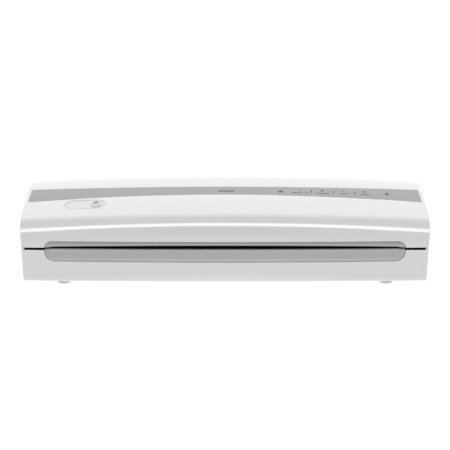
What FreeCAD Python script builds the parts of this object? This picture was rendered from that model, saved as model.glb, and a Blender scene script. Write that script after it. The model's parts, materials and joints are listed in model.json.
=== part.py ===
import FreeCAD, Part
import math, os
from FreeCAD import Vector as V

# ----------------------------------------------------------------------------------------------
# Pouch laminator, A3 class.  Millimetres, +Z up, the entry slot faces -Y, +X to the right as seen
# from the front.  Origin: centre of the footprint on the plane the feet stand on.
# ----------------------------------------------------------------------------------------------

# --- overall case ---
WIDTH = 420.0            # case width
XH = WIDTH / 2           # half width
Y_FRONT = -50.5          # front face at the two ends
BOW = 2.5                # how far the front face bows forward at mid width
Y_REAR = 53.0            # rear face
CASE_BOTTOM = 6.0        # underside of the base, above the resting plane
BASE_RIM = 44.25         # top rim of the base shell
COVER_RIM = 46.30        # bottom rim of the cover shell; the gap between is the parting line
WALL = 2.5               # shell thickness
CROWN = 6.0              # the cover is this much higher at mid width than at its ends

# --- cover profile in the Y-Z plane at the ends ---
SHOULDER_R, SHOULDER_Y, SHOULDER_Z = 14.5, -36.0, 60.5
TOP_R, TOP_Y, TOP_Z = 337.0, 20.0, 79.9
BACK_R = 200.0
CORNER_R, CORNER_Y, CORNER_Z = 6.0, 47.0, 72.0
BOTTOM_R = 6.0           # lower edge radius of the base
RIM_R = 1.0              # rounding of the two rims at the parting line
END_R = 0.9              # rounding round the flat end faces

# --- front throat ---
RECESS_HALF = 186.0      # half length of the bezel opening
RECESS_TOP, RECESS_BOT = 54.2, 30.5
RECESS_R_TOP, RECESS_R_BOT = 8.3, 9.8
RECESS_RISE = 0.8        # how much the lower edge of the opening arches up towards its ends
SLOT_LO = 44.15          # lower lip of the entry slot
SLOT_HI_END, SLOT_HI_RISE = 46.3, 1.8   # upper lip near the ends, and how much it arches at mid width
GAP = 0.38               # bezel to case gap

# --- pouch path and rollers ---
NIP_Z = 45.7             # height of the pouch path
NIP_GAP = 0.1            # free gap between the two roller sleeves
ROLLER_R = 10.0          # silicone sleeve radius
SHAFT_R = 4.0            # roller shaft radius
ROLLER_Y = -14.0
ROLLER_HALF = 163.0      # half length of the sleeves
LOW_Z = NIP_Z - NIP_GAP / 2 - ROLLER_R
UP_Z = NIP_Z + NIP_GAP / 2 + ROLLER_R
LIFT = 1.8               # how far the release lifts the upper roller
RUN = 0.05               # running clearance, radial

# --- side frames ---
FRAME_X = 170.0          # inner face
FRAME_T = 1.5
FRAME_TOP = 72.0

# --- gears, module 1 ---
MOD = 1.0
Z_ROLLER, Z_IDLER, Z_PINION = 20, 28, 16
GEAR_X0, GEAR_X1 = 176.0, 182.0
MOTOR_Y, MOTOR_Z, MOTOR_R = 30.0, 26.0, 16.0

# --- release slide ---
PILL_X, PILL_Y, PILL_L, PILL_W = -145.6, -17.15, 39.8, 17.1
KNOB_R = 5.7
KNOB_TRAVEL = 21.5       # along the slide
KNOB_X = PILL_X + PILL_L / 2 - 8.55
PLATE_X0, PLATE_X1 = PILL_X - PILL_L / 2 - 1.6, PILL_X + PILL_L / 2 + KNOB_TRAVEL + 1.6   # slider plate
LIP_T = 0.42             # thickness of the cover around the window, over the slider plate
PLATE_DEPTH = 0.87       # slider plate below the cover surface at the middle of the window
KNOB_H = 1.85            # knob above the plate
BAR_Z0, BAR_Z1 = 64.0, 67.0
BAR_Y0, BAR_Y1 = 0.0, 8.0

# --- control strip ---
STRIP_X = 206.3
STRIP_T = 0.6
KEY_POS = [(58.9, 6.0), (171.3, 6.6)]
KEY_R = 2.3
LENS_POS = [(78.7, 9.2), (103.0, 9.4), (125.1, 9.6), (147.5, 9.8)]
LENS_R = 1.7

# --- feet ---
FOOT_X, FOOT_YF, FOOT_YR = 169.6, -35.3, 40.0
FOOT_R, FOOT_FLAT_R = 7.2, 6.0   # rubber button and its flat bottom

os.makedirs("parts", exist_ok=True)
SHAPES = {}


def save(name, shape):
    if isinstance(shape, (list, tuple)):
        shape = Part.makeCompound(list(shape))
    SHAPES[name] = shape
    bad = [s for s in shape.Solids if not s.isValid() or s.Volume <= 0]
    b = shape.BoundBox
    print("%-24s solids %2d vol %9.1f  x %7.2f %7.2f y %7.2f %7.2f z %7.2f %7.2f%s" % (
        name, len(shape.Solids), sum(s.Volume for s in shape.Solids),
        b.XMin, b.XMax, b.YMin, b.YMax, b.ZMin, b.ZMax, "  BAD" if bad else ""))
    shape.exportStep("parts/%s.step" % name)


def k_of(x):
    return 1.0 - (x / XH) ** 2


def box(x0, x1, y0, y1, z0, z1):
    return Part.makeBox(x1 - x0, y1 - y0, z1 - z0, V(x0, y0, z0))


def cyl(r, p0, p1):
    p0, p1 = V(*p0), V(*p1)
    d = p1 - p0
    return Part.makeCylinder(r, d.Length, p0, d)


def tube(r1, r0, p0, p1):
    return cyl(r1, p0, p1).cut(cyl(r0, p0, p1))


def arc(a, m, b):
    return Part.Arc(V(*a), V(*m), V(*b)).toShape()


def line(a, b):
    return Part.makeLine(V(*a), V(*b))


def fuse(shapes):
    s = shapes[0]
    if len(shapes) > 1:
        s = s.multiFuse(shapes[1:])
    return s.removeSplitter()


def rrect_face(x0, x1, z0, z1, r_bot, r_top, y):
    """Rounded rectangle in the X-Z plane at y."""
    q = math.sqrt(0.5)
    es = []
    def P(x, z):
        return (x, y, z)
    es.append(line(P(x0 + r_bot, z0), P(x1 - r_bot, z0)))
    es.append(arc(P(x1 - r_bot, z0), P(x1 - r_bot + r_bot * q, z0 + r_bot - r_bot * q), P(x1, z0 + r_bot)))
    es.append(line(P(x1, z0 + r_bot), P(x1, z1 - r_top)))
    es.append(arc(P(x1, z1 - r_top), P(x1 - r_top + r_top * q, z1 - r_top + r_top * q), P(x1 - r_top, z1)))
    es.append(line(P(x1 - r_top, z1), P(x0 + r_top, z1)))
    es.append(arc(P(x0 + r_top, z1), P(x0 + r_top - r_top * q, z1 - r_top + r_top * q), P(x0, z1 - r_top)))
    es.append(line(P(x0, z1 - r_top), P(x0, z0 + r_bot)))
    es.append(arc(P(x0, z0 + r_bot), P(x0 + r_bot - r_bot * q, z0 + r_bot - r_bot * q), P(x0 + r_bot, z0)))
    return Part.Face(Part.Wire(es))


def recess_face(half, z0, z1, r_bot, r_top, y):
    """Outline of the throat opening in the X-Z plane at y: a rounded rectangle whose lower edge is a shallow arc."""
    q = math.sqrt(0.5)
    ze = z0 + RECESS_RISE * ((half - r_bot) / half) ** 2
    P = lambda x, z: (x, y, z)
    return Part.Face(Part.Wire([
        arc(P(-half + r_bot, ze), P(0, z0), P(half - r_bot, ze)),
        arc(P(half - r_bot, ze), P(half - r_bot + r_bot * q, ze + r_bot - r_bot * q), P(half, ze + r_bot)),
        line(P(half, ze + r_bot), P(half, z1 - r_top)),
        arc(P(half, z1 - r_top), P(half - r_top + r_top * q, z1 - r_top + r_top * q), P(half - r_top, z1)),
        line(P(half - r_top, z1), P(-half + r_top, z1)),
        arc(P(-half + r_top, z1), P(-half + r_top - r_top * q, z1 - r_top + r_top * q), P(-half, z1 - r_top)),
        line(P(-half, z1 - r_top), P(-half, ze + r_bot)),
        arc(P(-half, ze + r_bot), P(-half + r_bot - r_bot * q, ze + r_bot - r_bot * q), P(-half + r_bot, ze))]))


def stadium(xc, yc, length, width, z0, z1):
    r = width / 2
    h = length / 2 - r
    f = Part.Face(Part.Wire([
        line((xc - h, yc - r, z0), (xc + h, yc - r, z0)),
        arc((xc + h, yc - r, z0), (xc + h + r, yc, z0), (xc + h, yc + r, z0)),
        line((xc + h, yc + r, z0), (xc - h, yc + r, z0)),
        arc((xc - h, yc + r, z0), (xc - h - r, yc, z0), (xc - h, yc - r, z0))]))
    return f.extrude(V(0, 0, z1 - z0))


def on_arc(r, yc, zc, y):
    return zc + math.sqrt(r * r - (y - yc) ** 2)


def cover_section(x, t, rim, rim_r=0.0):
    """Closed Y-Z section of the cover at x, moved inwards by t."""
    k = k_of(x)
    dz, dy = CROWN * k, -BOW * k
    sr = SHOULDER_R - t
    tr = TOP_R - t
    br = BACK_R - t
    cr = CORNER_R - t
    tzc = TOP_Z - TOP_R
    bzc = TOP_Z - BACK_R
    # where shoulder and top arc touch: on the line of their centres
    d = V(0, SHOULDER_Y - TOP_Y, SHOULDER_Z - tzc)
    d.normalize()
    a = V(x, TOP_Y, tzc) + d * tr                     # shoulder / top
    d2 = V(0, CORNER_Y - TOP_Y, CORNER_Z - bzc)
    d2.normalize()
    b = V(x, TOP_Y, bzc) + d2 * br                    # top / rear corner
    yf = Y_FRONT + t
    yr = CORNER_Y + cr

    def S(y, z, w=1.0, up=1.0):
        return V(x, y + dy * w, z + dz * up)
    p_front_top = S(yf, SHOULDER_Z)
    ang = math.atan2(d.z, d.y)
    am = (math.pi + ang) / 2
    p_sh_mid = S(SHOULDER_Y + sr * math.cos(am), SHOULDER_Z + sr * math.sin(am))
    p_a = S(a.y, a.z)
    ym = (a.y + TOP_Y) / 2
    p_m = S(ym, on_arc(tr, TOP_Y, tzc, ym), 0.45)
    p_t = S(TOP_Y, TOP_Z - t, 0.0)
    yb = (TOP_Y + b.y) / 2
    p_bm = S(yb, on_arc(br, TOP_Y, bzc, yb), 0.0)
    p_b = S(b.y, b.z, 0.0)
    ang2 = math.atan2(b.z - CORNER_Z, b.y - CORNER_Y) / 2
    p_cm = S(CORNER_Y + cr * math.cos(ang2), CORNER_Z + cr * math.sin(ang2), 0.0)
    p_rear_top = S(yr, CORNER_Z, 0.0)
    q = math.sqrt(0.5)
    r = rim_r
    yfb = yf + dy
    e = []
    if r > 0:
        e.append(Part.Arc(V(x, yfb + r, rim), V(x, yfb + r - r * q, rim + r - r * q), V(x, yfb, rim + r)).toShape())
        e.append(Part.makeLine(V(x, yfb, rim + r), p_front_top))
    else:
        e.append(Part.makeLine(V(x, yfb, rim), p_front_top))
    e.append(Part.Arc(p_front_top, p_sh_mid, p_a).toShape())
    e.append(Part.Arc(p_a, p_m, p_t).toShape())
    e.append(Part.Arc(p_t, p_bm, p_b).toShape())
    e.append(Part.Arc(p_b, p_cm, p_rear_top).toShape())
    if r > 0:
        e.append(Part.makeLine(p_rear_top, V(x, yr, rim + r)))
        e.append(Part.Arc(V(x, yr, rim + r), V(x, yr - r + r * q, rim + r - r * q), V(x, yr - r, rim)).toShape())
        e.append(Part.makeLine(V(x, yr - r, rim), V(x, yfb + r, rim)))
    else:
        e.append(Part.makeLine(p_rear_top, V(x, yr, rim)))
        e.append(Part.makeLine(V(x, yr, rim), V(x, yfb, rim)))
    return Part.Wire(e)


def base_section(x, t, rim, rim_r=0.0, floor=None):
    """Closed Y-Z section of the base at x, moved inwards by t."""
    k = k_of(x)
    yf = Y_FRONT + t - BOW * k
    yr = Y_REAR - t
    z0 = CASE_BOTTOM + t
    b = max(BOTTOM_R - t, 0.5)
    r = rim_r
    q = math.sqrt(0.5)
    e = []
    P = lambda y, z: V(x, y, z)
    e.append(Part.makeLine(P(yf + b, z0), P(yr - b, z0)))
    e.append(Part.Arc(P(yr - b, z0), P(yr - b + b * q, z0 + b - b * q), P(yr, z0 + b)).toShape())
    if r > 0:
        e.append(Part.makeLine(P(yr, z0 + b), P(yr, rim - r)))
        e.append(Part.Arc(P(yr, rim - r), P(yr - r + r * q, rim - r + r * q), P(yr - r, rim)).toShape())
        e.append(Part.makeLine(P(yr - r, rim), P(yf + r, rim)))
        e.append(Part.Arc(P(yf + r, rim), P(yf + r - r * q, rim - r + r * q), P(yf, rim - r)).toShape())
        e.append(Part.makeLine(P(yf, rim - r), P(yf, z0 + b)))
    else:
        e.append(Part.makeLine(P(yr, z0 + b), P(yr, rim)))
        e.append(Part.makeLine(P(yr, rim), P(yf, rim)))
        e.append(Part.makeLine(P(yf, rim), P(yf, z0 + b)))
    e.append(Part.Arc(P(yf, z0 + b), P(yf + b - b * q, z0 + b - b * q), P(yf + b, z0)).toShape())
    return Part.Wire(e)


def stations(half, n=6):
    return [half * i / n for i in range(-n, n + 1)]


def loft(section, half, *args, n=6, **kw):
    return Part.makeLoft([section(x, *args, **kw) for x in stations(half, n)], True, False)


def round_ends(s, r):
    """Rounds the edges that lie in the two flat end faces; the plain solid if that fails."""
    for rr in (r, r * 0.85, r * 0.7, r * 0.6, r * 0.5):
        try:
            es = [e for e in s.Edges if all(abs(abs(v.X) - XH) < 1e-4 for v in e.Vertexes)
                  and abs(abs(e.CenterOfMass.x) - XH) < 1e-3]
            f = s.makeFillet(rr, es)
            if f.isValid() and f.Volume > 0.9 * s.Volume:
                return f
        except Exception as ex:
            print("fillet", rr, ex)
    print("no end rounding")
    return s


# ----------------------------------------------------------------------------------------------
# Outer shells
# ----------------------------------------------------------------------------------------------
COVER_OUT = round_ends(loft(cover_section, XH, 0.0, COVER_RIM, rim_r=RIM_R), END_R)
COVER_OUT_PLAIN = loft(cover_section, XH, 0.0, COVER_RIM - 5)
cover_in = loft(cover_section, XH - WALL, WALL, COVER_RIM - 1)
BASE_OUT = round_ends(loft(base_section, XH, 0.0, BASE_RIM, rim_r=RIM_R), END_R)
base_in = loft(base_section, XH - WALL, WALL, BASE_RIM + 1)
INNER = cover_in


def layer(t0, t1, prism):
    """The slice of the cover between depths t0 and t1 below its top surface, inside prism."""
    a = COVER_OUT_PLAIN.copy()
    a.translate(V(0, 0, -t0))
    b = COVER_OUT_PLAIN.copy()
    b.translate(V(0, 0, -t1))
    return a.common(prism).cut(b)


DOME_LEAN = math.degrees(math.atan((TOP_Y - PILL_Y) / (TOP_R - 2)))     # the dome leans towards the front at the slide
DOME_TILT = math.degrees(math.atan(2 * CROWN * abs(PILL_X) / XH ** 2))   # and falls towards the end


def stadium_wire(length, width, z):
    r = width / 2
    h = length / 2 - r
    return Part.Wire([line((-h, -r, z), (h, -r, z)), arc((h, -r, z), (h + r, 0, z), (h, r, z)),
                      line((h, r, z), (-h, r, z)), arc((-h, r, z), (-h - r, 0, z), (-h, -r, z))])


def window_bevel():
    """45 degree bevel round the slide window, square to the dome there."""
    b = Part.makeLoft([stadium_wire(PILL_L, PILL_W, -0.32), stadium_wire(PILL_L + 2.0, PILL_W + 2.0, 0.68)], True, True)
    b.rotate(V(0, 0, 0), V(1, 0, 0), DOME_LEAN)
    b.rotate(V(0, 0, 0), V(0, 1, 0), -DOME_TILT)
    b.translate(V(PILL_X, PILL_Y, top_z(PILL_X, PILL_Y)))
    return b


def strip_prism(grow):
    """Plan outline of the control strip: both long edges curve inwards."""
    x = STRIP_X + grow
    yf, yb = -8.5 - grow, 21.4 + grow
    fm, bm = -2.3 - grow, 16.3 + grow
    f = Part.Face(Part.Wire([
        arc((-x, yf, 60), (0, fm, 60), (x, yf, 60)),
        line((x, yf, 60), (x - 0.4, yb, 60)),
        arc((x - 0.4, yb, 60), (0, bm, 60), (-x + 0.4, yb, 60)),
        line((-x + 0.4, yb, 60), (-x, yf, 60))]))
    return f.extrude(V(0, 0, 40))


def top_z(x, y):
    """Height of the outer cover surface."""
    k = k_of(x)
    if y <= TOP_Y:
        return on_arc(TOP_R, TOP_Y, TOP_Z - TOP_R, y) + CROWN * k
    return on_arc(BACK_R, TOP_Y, TOP_Z - BACK_R, y) + CROWN * k


def checked_cut(s, tool, what):
    """Cuts, and stops with a name if the result isn't a sound solid."""
    r = s.cut(tool)
    if r.isNull() or not r.Solids or not r.isValid() or r.Volume < 0.3 * s.Volume:
        raise RuntimeError("cut failed: " + what)
    return r


def build_cover():
    s = COVER_OUT.cut(cover_in)
    # front opening for the upper bezel
    f = rrect_face(-RECESS_HALF, RECESS_HALF, RECESS_BOT, RECESS_TOP, 2.0, RECESS_R_TOP, -60)
    s = checked_cut(s, f.extrude(V(0, 20, 0)), "front opening")
    # control strip recess
    s = checked_cut(s, layer(-3, STRIP_T + 0.05, strip_prism(0.15)), "strip recess")
    # holes for keys, lenses and the release track
    tools = [cyl(KEY_R + 0.35, (x, y, 70), (x, y, 95)) for x, y in KEY_POS]
    tools += [cyl(LENS_R + 0.1, (x, y, 70), (x, y, 95)) for x, y in LENS_POS]
    tools.append(stadium(PILL_X, PILL_Y, PILL_L, PILL_W, 68, 95))
    # pocket under the window, where the slider plate runs
    tools.append(window_bevel())
    tools.append(layer(LIP_T, 2.9, box(PLATE_X0 - KNOB_TRAVEL - 0.6, PLATE_X1 + 0.6, PILL_Y - 10.6, PILL_Y + 10.6, 60, 95)))
    # rear exit opening
    tools.append(rrect_face(-174, 174, 38.5, 53.0, 4, 4, 40).extrude(V(0, 20, 0)))
    # rear cooling louvres
    for i in range(-9, 10):
        tools.append(rrect_face(i * 15 - 5.5, i * 15 + 5.5, 60.0, 62.4, 1.15, 1.15, 45).extrude(V(0, 12, 0)))
    for i, t in enumerate(tools):
        s = checked_cut(s, t, "cover hole %d" % i)
    # screw posts, closed at the top by the cover
    posts = []
    for x in (-196, 196):
        for y in (-36, 38):
            p = cyl(4.2, (x, y, COVER_RIM + 0.1), (x, y, 90)).common(cover_in)
            p = p.cut(cyl(1.3, (x, y, 40), (x, y, 70)))
            posts.append(p)
    s = s.multiFuse(posts)
    # inner ribs stiffening the dome, clear of the mechanism
    return s.removeSplitter()


def build_base():
    # lower corners rounded in the front view
    c, r, q = XH + 1.0, 4.5, math.sqrt(0.5)
    x0, z0 = XH, CASE_BOTTOM
    outline = Part.Face(Part.Wire([
        line((-x0 + r, -70, z0), (x0 - r, -70, z0)), arc((x0 - r, -70, z0), (x0 - r + r * q, -70, z0 + r - r * q), (x0, -70, z0 + r)),
        line((x0, -70, z0 + r), (c, -70, z0 + r + 6)), line((c, -70, z0 + r + 6), (c, -70, 80)), line((c, -70, 80), (-c, -70, 80)),
        line((-c, -70, 80), (-c, -70, z0 + r + 6)), line((-c, -70, z0 + r + 6), (-x0, -70, z0 + r)),
        arc((-x0, -70, z0 + r), (-x0 + r - r * q, -70, z0 + r - r * q), (-x0 + r, -70, z0))]))
    s = BASE_OUT.common(outline.extrude(V(0, 140, 0))).cut(base_in)
    # tongue: an inner lip that closes the parting gap
    lip_out = loft(base_section, XH - WALL + 0.4, WALL - 0.4, COVER_RIM - 0.05)
    lip_in = loft(base_section, XH - WALL - 1.2, WALL + 1.2, COVER_RIM + 2)
    lip = lip_out.cut(lip_in).common(box(-220, 220, -70, 70, 40.0, COVER_RIM - 0.05))
    s = s.fuse(lip)
    f = recess_face(RECESS_HALF, RECESS_BOT, RECESS_TOP, RECESS_R_BOT, RECESS_R_TOP, -60)
    tools = [f.extrude(V(0, 20, 0))]
    tools.append(rrect_face(-174, 174, 38.5, 53.0, 4, 4, 40).extrude(V(0, 20, 0)))
    # rear wall: mains inlet and rocker switch
    tools.append(rrect_face(INLET_X - 12.1, INLET_X + 12.1, INLET_Z - 8.1, INLET_Z + 8.1, 2.5, 2.5, 45).extrude(V(0, 12, 0)))
    tools.append(rrect_face(ROCK_X - 9.7, ROCK_X + 9.7, ROCK_Z - 6.6, ROCK_Z + 6.6, 1.0, 1.0, 45).extrude(V(0, 12, 0)))
    # underside cooling slots
    for i in range(-8, 9):
        for yy in (-22, 6):
            tools.append(stadium(i * 17.5, yy, 12, 2.6, 4, 10).copy())
    s = s.cut(Part.makeCompound(tools))
    posts = []
    for x in (-196, 196):
        for y in (-36, 38):
            p = cyl(4.6, (x, y, CASE_BOTTOM + 1), (x, y, COVER_RIM - 0.0))
            posts.append(p)
    pads = []
    for sx in (-1, 1):
        for y0, y1 in ((-42, -22), (28, 44)):
            pads.append(box(min(sx * 172, sx * 183), max(sx * 172, sx * 183), y0, y1, CASE_BOTTOM + 1, 9.5))
    # spacers under the power board
    for x in (-88, -20):
        for y in (18, 40):
            pads.append(cyl(2.5, (x, y, CASE_BOTTOM + 1), (x, y, 11.98)))
    s = s.multiFuse(posts + pads)
    holes = []
    for x in (-196, 196):
        for y in (-36, 38):
            holes.append(cyl(3.3, (x, y, 0), (x, y, 38)))
            holes.append(cyl(1.7, (x, y, 30), (x, y, 60)))
    # foot sockets and frame screw pilots
    for x in (-FOOT_X, FOOT_X):
        for y in (FOOT_YF, FOOT_YR):
            holes.append(cyl(2.0, (x, y, 0), (x, y, 12)))
    for sx in (-1, 1):
        for y in (-32, 36):
            holes.append(cyl(1.2, (sx * 178, y, 7.2), (sx * 178, y, 12)))
    s = s.cut(Part.makeCompound(holes))
    return s.removeSplitter()


INLET_X, INLET_Z = -150.0, 24.0
ROCK_X, ROCK_Z = -112.0, 24.0

save("top_cover", build_cover())
save("base_case", build_base())

# control strip, let in flush with the cover
strip = layer(0.0, STRIP_T, strip_prism(0.0))
strip = strip.cut(Part.makeCompound(
    [cyl(KEY_R + 0.3, (x, y, 70), (x, y, 95)) for x, y in KEY_POS] +
    [cyl(LENS_R + 0.05, (x, y, 70), (x, y, 95)) for x, y in LENS_POS]))
save("control_strip", strip)


# ----------------------------------------------------------------------------------------------
# Front throat bezels: thin curved lips either side of the entry slot
# ----------------------------------------------------------------------------------------------
h = RECESS_HALF - GAP


def end_blend(x):
    """0 along the slot, rising to 1 where the lips run forward to the case at the ends of the recess."""
    a = min(max((abs(x) - (h - 10.0)) / 9.0, 0.0), 1.0)
    return a * a * (3 - 2 * a)


def mix(a, b, w):
    return a * (1 - w) + b * w


def slot_hi(x):
    return mix(SLOT_HI_END + SLOT_HI_RISE * max(0.0, 1 - (x / 176.0) ** 2), COVER_RIM, end_blend(x))


def lower_bezel_section(x):
    w = end_blend(x)
    k = k_of(x)
    f = Y_FRONT - BOW * k
    q = math.sqrt(0.5)
    P = lambda y, z: V(x, y, z)
    r = mix(2.0 + 1.2 * k, 0.9, w)          # rounding of the lip
    y1 = f + mix(1.7, 0.5, w)               # face set back from the case
    zl = mix(SLOT_LO, BASE_RIM, w)
    up = RECESS_RISE * (x / RECESS_HALF) ** 2   # the sill follows the lower edge of the opening
    z_a, z_b = 33.9 + up, 31.95 + up
    y_s = f + 0.5 - 0.1 * w
    return Part.Wire([
        Part.makeLine(P(-44.2, zl), P(y1 + r, zl)),
        Part.Arc(P(y1 + r, zl), P(y1 + r - r * q, zl - r + r * q), P(y1, zl - r)).toShape(),
        Part.makeLine(P(y1, zl - r), P(y1, z_a)),
        Part.makeLine(P(y1, z_a), P(y_s, z_b)),
        Part.makeLine(P(y_s, z_b), P(y_s, RECESS_BOT - 1.0)),
        Part.makeLine(P(y_s, RECESS_BOT - 1.0), P(f + 3.9, RECESS_BOT - 1.0)),
        Part.makeLine(P(f + 3.9, RECESS_BOT - 1.0), P(f + 3.9, 39.6)),
        Part.makeLine(P(f + 3.9, 39.6), P(f + 5.4, SLOT_LO - 1.8)),
        Part.makeLine(P(f + 5.4, SLOT_LO - 1.8), P(-44.2, SLOT_LO - 1.8)),
        Part.makeLine(P(-44.2, SLOT_LO - 1.8), P(-44.2, zl))])


def upper_bezel_section(x):
    w = end_blend(x)
    k = k_of(x)
    f = Y_FRONT - BOW * k
    P = lambda y, z: V(x, y, z)
    zt = RECESS_TOP - GAP
    zs = slot_hi(x)
    return Part.Wire([
        Part.makeLine(P(f + 0.7, zt), P(f + 0.7, zt - 0.5)),
        Part.makeLine(P(f + 0.7, zt - 0.5), P(f + mix(1.7, 0.8, w), zt - 0.9)),
        Part.makeLine(P(f + mix(1.7, 0.8, w), zt - 0.9), P(f + mix(2.7, 0.9, w), zs + mix(1.4, 0.8, w))),
        Part.Arc(P(f + mix(2.7, 0.9, w), zs + mix(1.4, 0.8, w)), P(f + mix(3.12, 1.14, w), zs + mix(0.42, 0.24, w)), P(f + mix(4.1, 1.7, w), zs)).toShape(),
        Part.makeLine(P(f + mix(4.1, 1.7, w), zs), P(-43.9, zs)),
        Part.makeLine(P(-43.9, zs), P(-43.9, zs + 1.6)),
        Part.makeLine(P(-43.9, zs + 1.6), P(f + 6.0, zs + 1.6)),
        Part.makeLine(P(f + 6.0, zs + 1.6), P(f + 4.0, zt)),
        Part.makeLine(P(f + 4.0, zt), P(f + 0.7, zt))])


bezel_prism = recess_face(h, RECESS_BOT + GAP, RECESS_TOP - GAP, RECESS_R_BOT - GAP, RECESS_R_TOP - GAP, -60).extrude(V(0, 25, 0))
half_x = [40.0, 85.0, 130.0, 165.0, 175.75, 177.5, 179.4, 181.2, 183.0, 184.75, 185.75]
xs = [-x for x in reversed(half_x)] + [0.0] + half_x
low = Part.makeLoft([lower_bezel_section(x) for x in xs], True, True).common(bezel_prism)
up = Part.makeLoft([upper_bezel_section(x) for x in xs], True, True).common(bezel_prism)
save("lower_throat_bezel", low.removeSplitter())
save("upper_throat_bezel", up.removeSplitter())


# ----------------------------------------------------------------------------------------------
# Rear exit bezels
# ----------------------------------------------------------------------------------------------
def exit_half(z0, z1, slot_z, r_bot, r_top):
    """Half of the rear bezel: a flange outside the case and a sleeve through it, with a lip at the slot."""
    fl = rrect_face(-177, 177, z0 - 2.0 if r_bot > 1 else z0, z1 + 2.0 if r_top > 1 else z1, max(r_bot, 0.4), max(r_top, 0.4), Y_REAR + 0.1).extrude(V(0, 1.2, 0))
    return fl


def exit_bezel(lower):
    if lower:
        z_out, z_in, z_slot = 36.8, 38.8, 43.6
        fl = rrect_face(-177, 177, z_out, 45.6, 4.5, 0.5, Y_REAR + 0.1).extrude(V(0, 1.4, 0))
        sl = rrect_face(-173.7, 173.7, z_in, 45.6, 3.7, 0.5, 44.0).extrude(V(0, Y_REAR + 1.5 - 44.0, 0))
        s = fl.fuse(sl)
        s = s.cut(box(-168, 168, 30, 60, z_slot, 60))
        s = s.cut(box(-166, 166, 30, Y_REAR - 1.2, z_in + 1.8, z_slot - 1.6))
        ramp = Part.Face(Part.makePolygon([V(-168, Y_REAR - 3, z_slot), V(-168, Y_REAR + 2, z_slot), V(-168, Y_REAR + 2, z_slot - 2.6), V(-168, Y_REAR - 3, z_slot)])).extrude(V(336, 0, 0))
        s = s.cut(ramp)
    else:
        z_out, z_in, z_slot = 54.7, 52.7, 48.0
        fl = rrect_face(-177, 177, 45.75, z_out, 0.5, 4.5, Y_REAR + 0.1).extrude(V(0, 1.4, 0))
        sl = rrect_face(-173.7, 173.7, 45.75, z_in, 0.5, 3.7, 44.0).extrude(V(0, Y_REAR + 1.5 - 44.0, 0))
        s = fl.fuse(sl)
        s = s.cut(box(-168, 168, 30, 60, 30, z_slot))
        s = s.cut(box(-166, 166, 30, Y_REAR - 1.2, z_slot + 1.6, z_in - 1.8))
        ramp = Part.Face(Part.makePolygon([V(-168, Y_REAR - 3, z_slot), V(-168, Y_REAR + 2, z_slot), V(-168, Y_REAR + 2, z_slot + 2.6), V(-168, Y_REAR - 3, z_slot)])).extrude(V(336, 0, 0))
        s = s.cut(ramp)
    return s.removeSplitter()


save("exit_bezel_lower", exit_bezel(True))
save("exit_bezel_upper", exit_bezel(False))

# ----------------------------------------------------------------------------------------------
# Release: track, knob, bar
# ----------------------------------------------------------------------------------------------
slope = 2 * CROWN * abs(PILL_X) / XH ** 2       # rise of the dome along +X at the track
TILT = math.atan(slope)
KNOB_TILT_DEG = math.degrees(TILT)

# guide tray fixed under the cover, with a slot for the stem
tray = layer(2.56, 4.0, box(PLATE_X0 - KNOB_TRAVEL - 3, PLATE_X1 + 3, PILL_Y - 13.5, PILL_Y + 13.5, 60, 95))
tray = tray.cut(stadium(KNOB_X - KNOB_TRAVEL / 2, PILL_Y, KNOB_TRAVEL + 5.0, 4.4, 60, 95))
rails = [layer(2.9, 6.0, box(PLATE_X0 - KNOB_TRAVEL, PLATE_X1, PILL_Y + a, PILL_Y + a + 1.4, 60, 95)) for a in (-13.3, 11.9)]
save("release_track", fuse([tray] + rails))

# knob: disc with a finger dish, and a stem through the track slot
MID_X = PILL_X                       # the plate is level with the dome here
kz = top_z(MID_X, PILL_Y) - PLATE_DEPTH + (KNOB_X - MID_X) * slope
disc = Part.makeCylinder(KNOB_R, KNOB_H)
disc = disc.makeFillet(0.6, [e for e in disc.Edges if abs(e.CenterOfMass.z - KNOB_H) < 1e-6 and len(e.Vertexes) == 1])
dish_r = (3.8 ** 2 + 0.7 ** 2) / (2 * 0.7)
disc = disc.cut(Part.makeSphere(dish_r, V(0, 0, KNOB_H - 0.7 + dish_r)))
lean = DOME_LEAN
disc.rotate(V(0, 0, 0), V(1, 0, 0), lean)
disc.rotate(V(0, 0, 0), V(0, 1, 0), -KNOB_TILT_DEG)
disc.translate(V(KNOB_X, PILL_Y, kz))
stem = cyl(1.5, (KNOB_X, PILL_Y, 70.4), (KNOB_X, PILL_Y, kz + 0.3))
plate = box(PLATE_X0 - KNOB_X, PLATE_X1 - KNOB_X, -9.5, 9.5, -1.2, 0.0)
plate = plate.makeFillet(1.5, [e for e in plate.Edges if len(e.Vertexes) == 2 and abs(e.Vertexes[0].X - e.Vertexes[1].X) < 1e-6 and abs(e.Vertexes[0].Y - e.Vertexes[1].Y) < 1e-6])
plate.rotate(V(0, 0, 0), V(1, 0, 0), lean)
plate.rotate(V(0, 0, 0), V(0, 1, 0), -KNOB_TILT_DEG)
plate.translate(V(KNOB_X, PILL_Y, kz))
knob = fuse([disc, plate, stem])
save("release_knob", knob)

# release bar: strip with a forward tab for the stem and one ramp for each bearing block arm
ARM_X0, ARM_X1 = 171.7, 174.1        # lifting arms of the bearing blocks
RAMP_L = KNOB_TRAVEL * math.cos(TILT)
bar_parts = [box(-182, 200, BAR_Y0, BAR_Y1, BAR_Z0, BAR_Z1)]


def ramp(x_start):
    f = Part.Face(Part.makePolygon([
        V(x_start, BAR_Y0, BAR_Z1 - 0.5), V(x_start, BAR_Y0, BAR_Z1), V(x_start + RAMP_L, BAR_Y0, BAR_Z1 + LIFT),
        V(x_start + RAMP_L + 3.5, BAR_Y0, BAR_Z1 + LIFT), V(x_start + RAMP_L + 3.5, BAR_Y0, BAR_Z1 - 0.5), V(x_start, BAR_Y0, BAR_Z1 - 0.5)]))
    return f.extrude(V(0, BAR_Y1 - BAR_Y0, 0))


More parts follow.
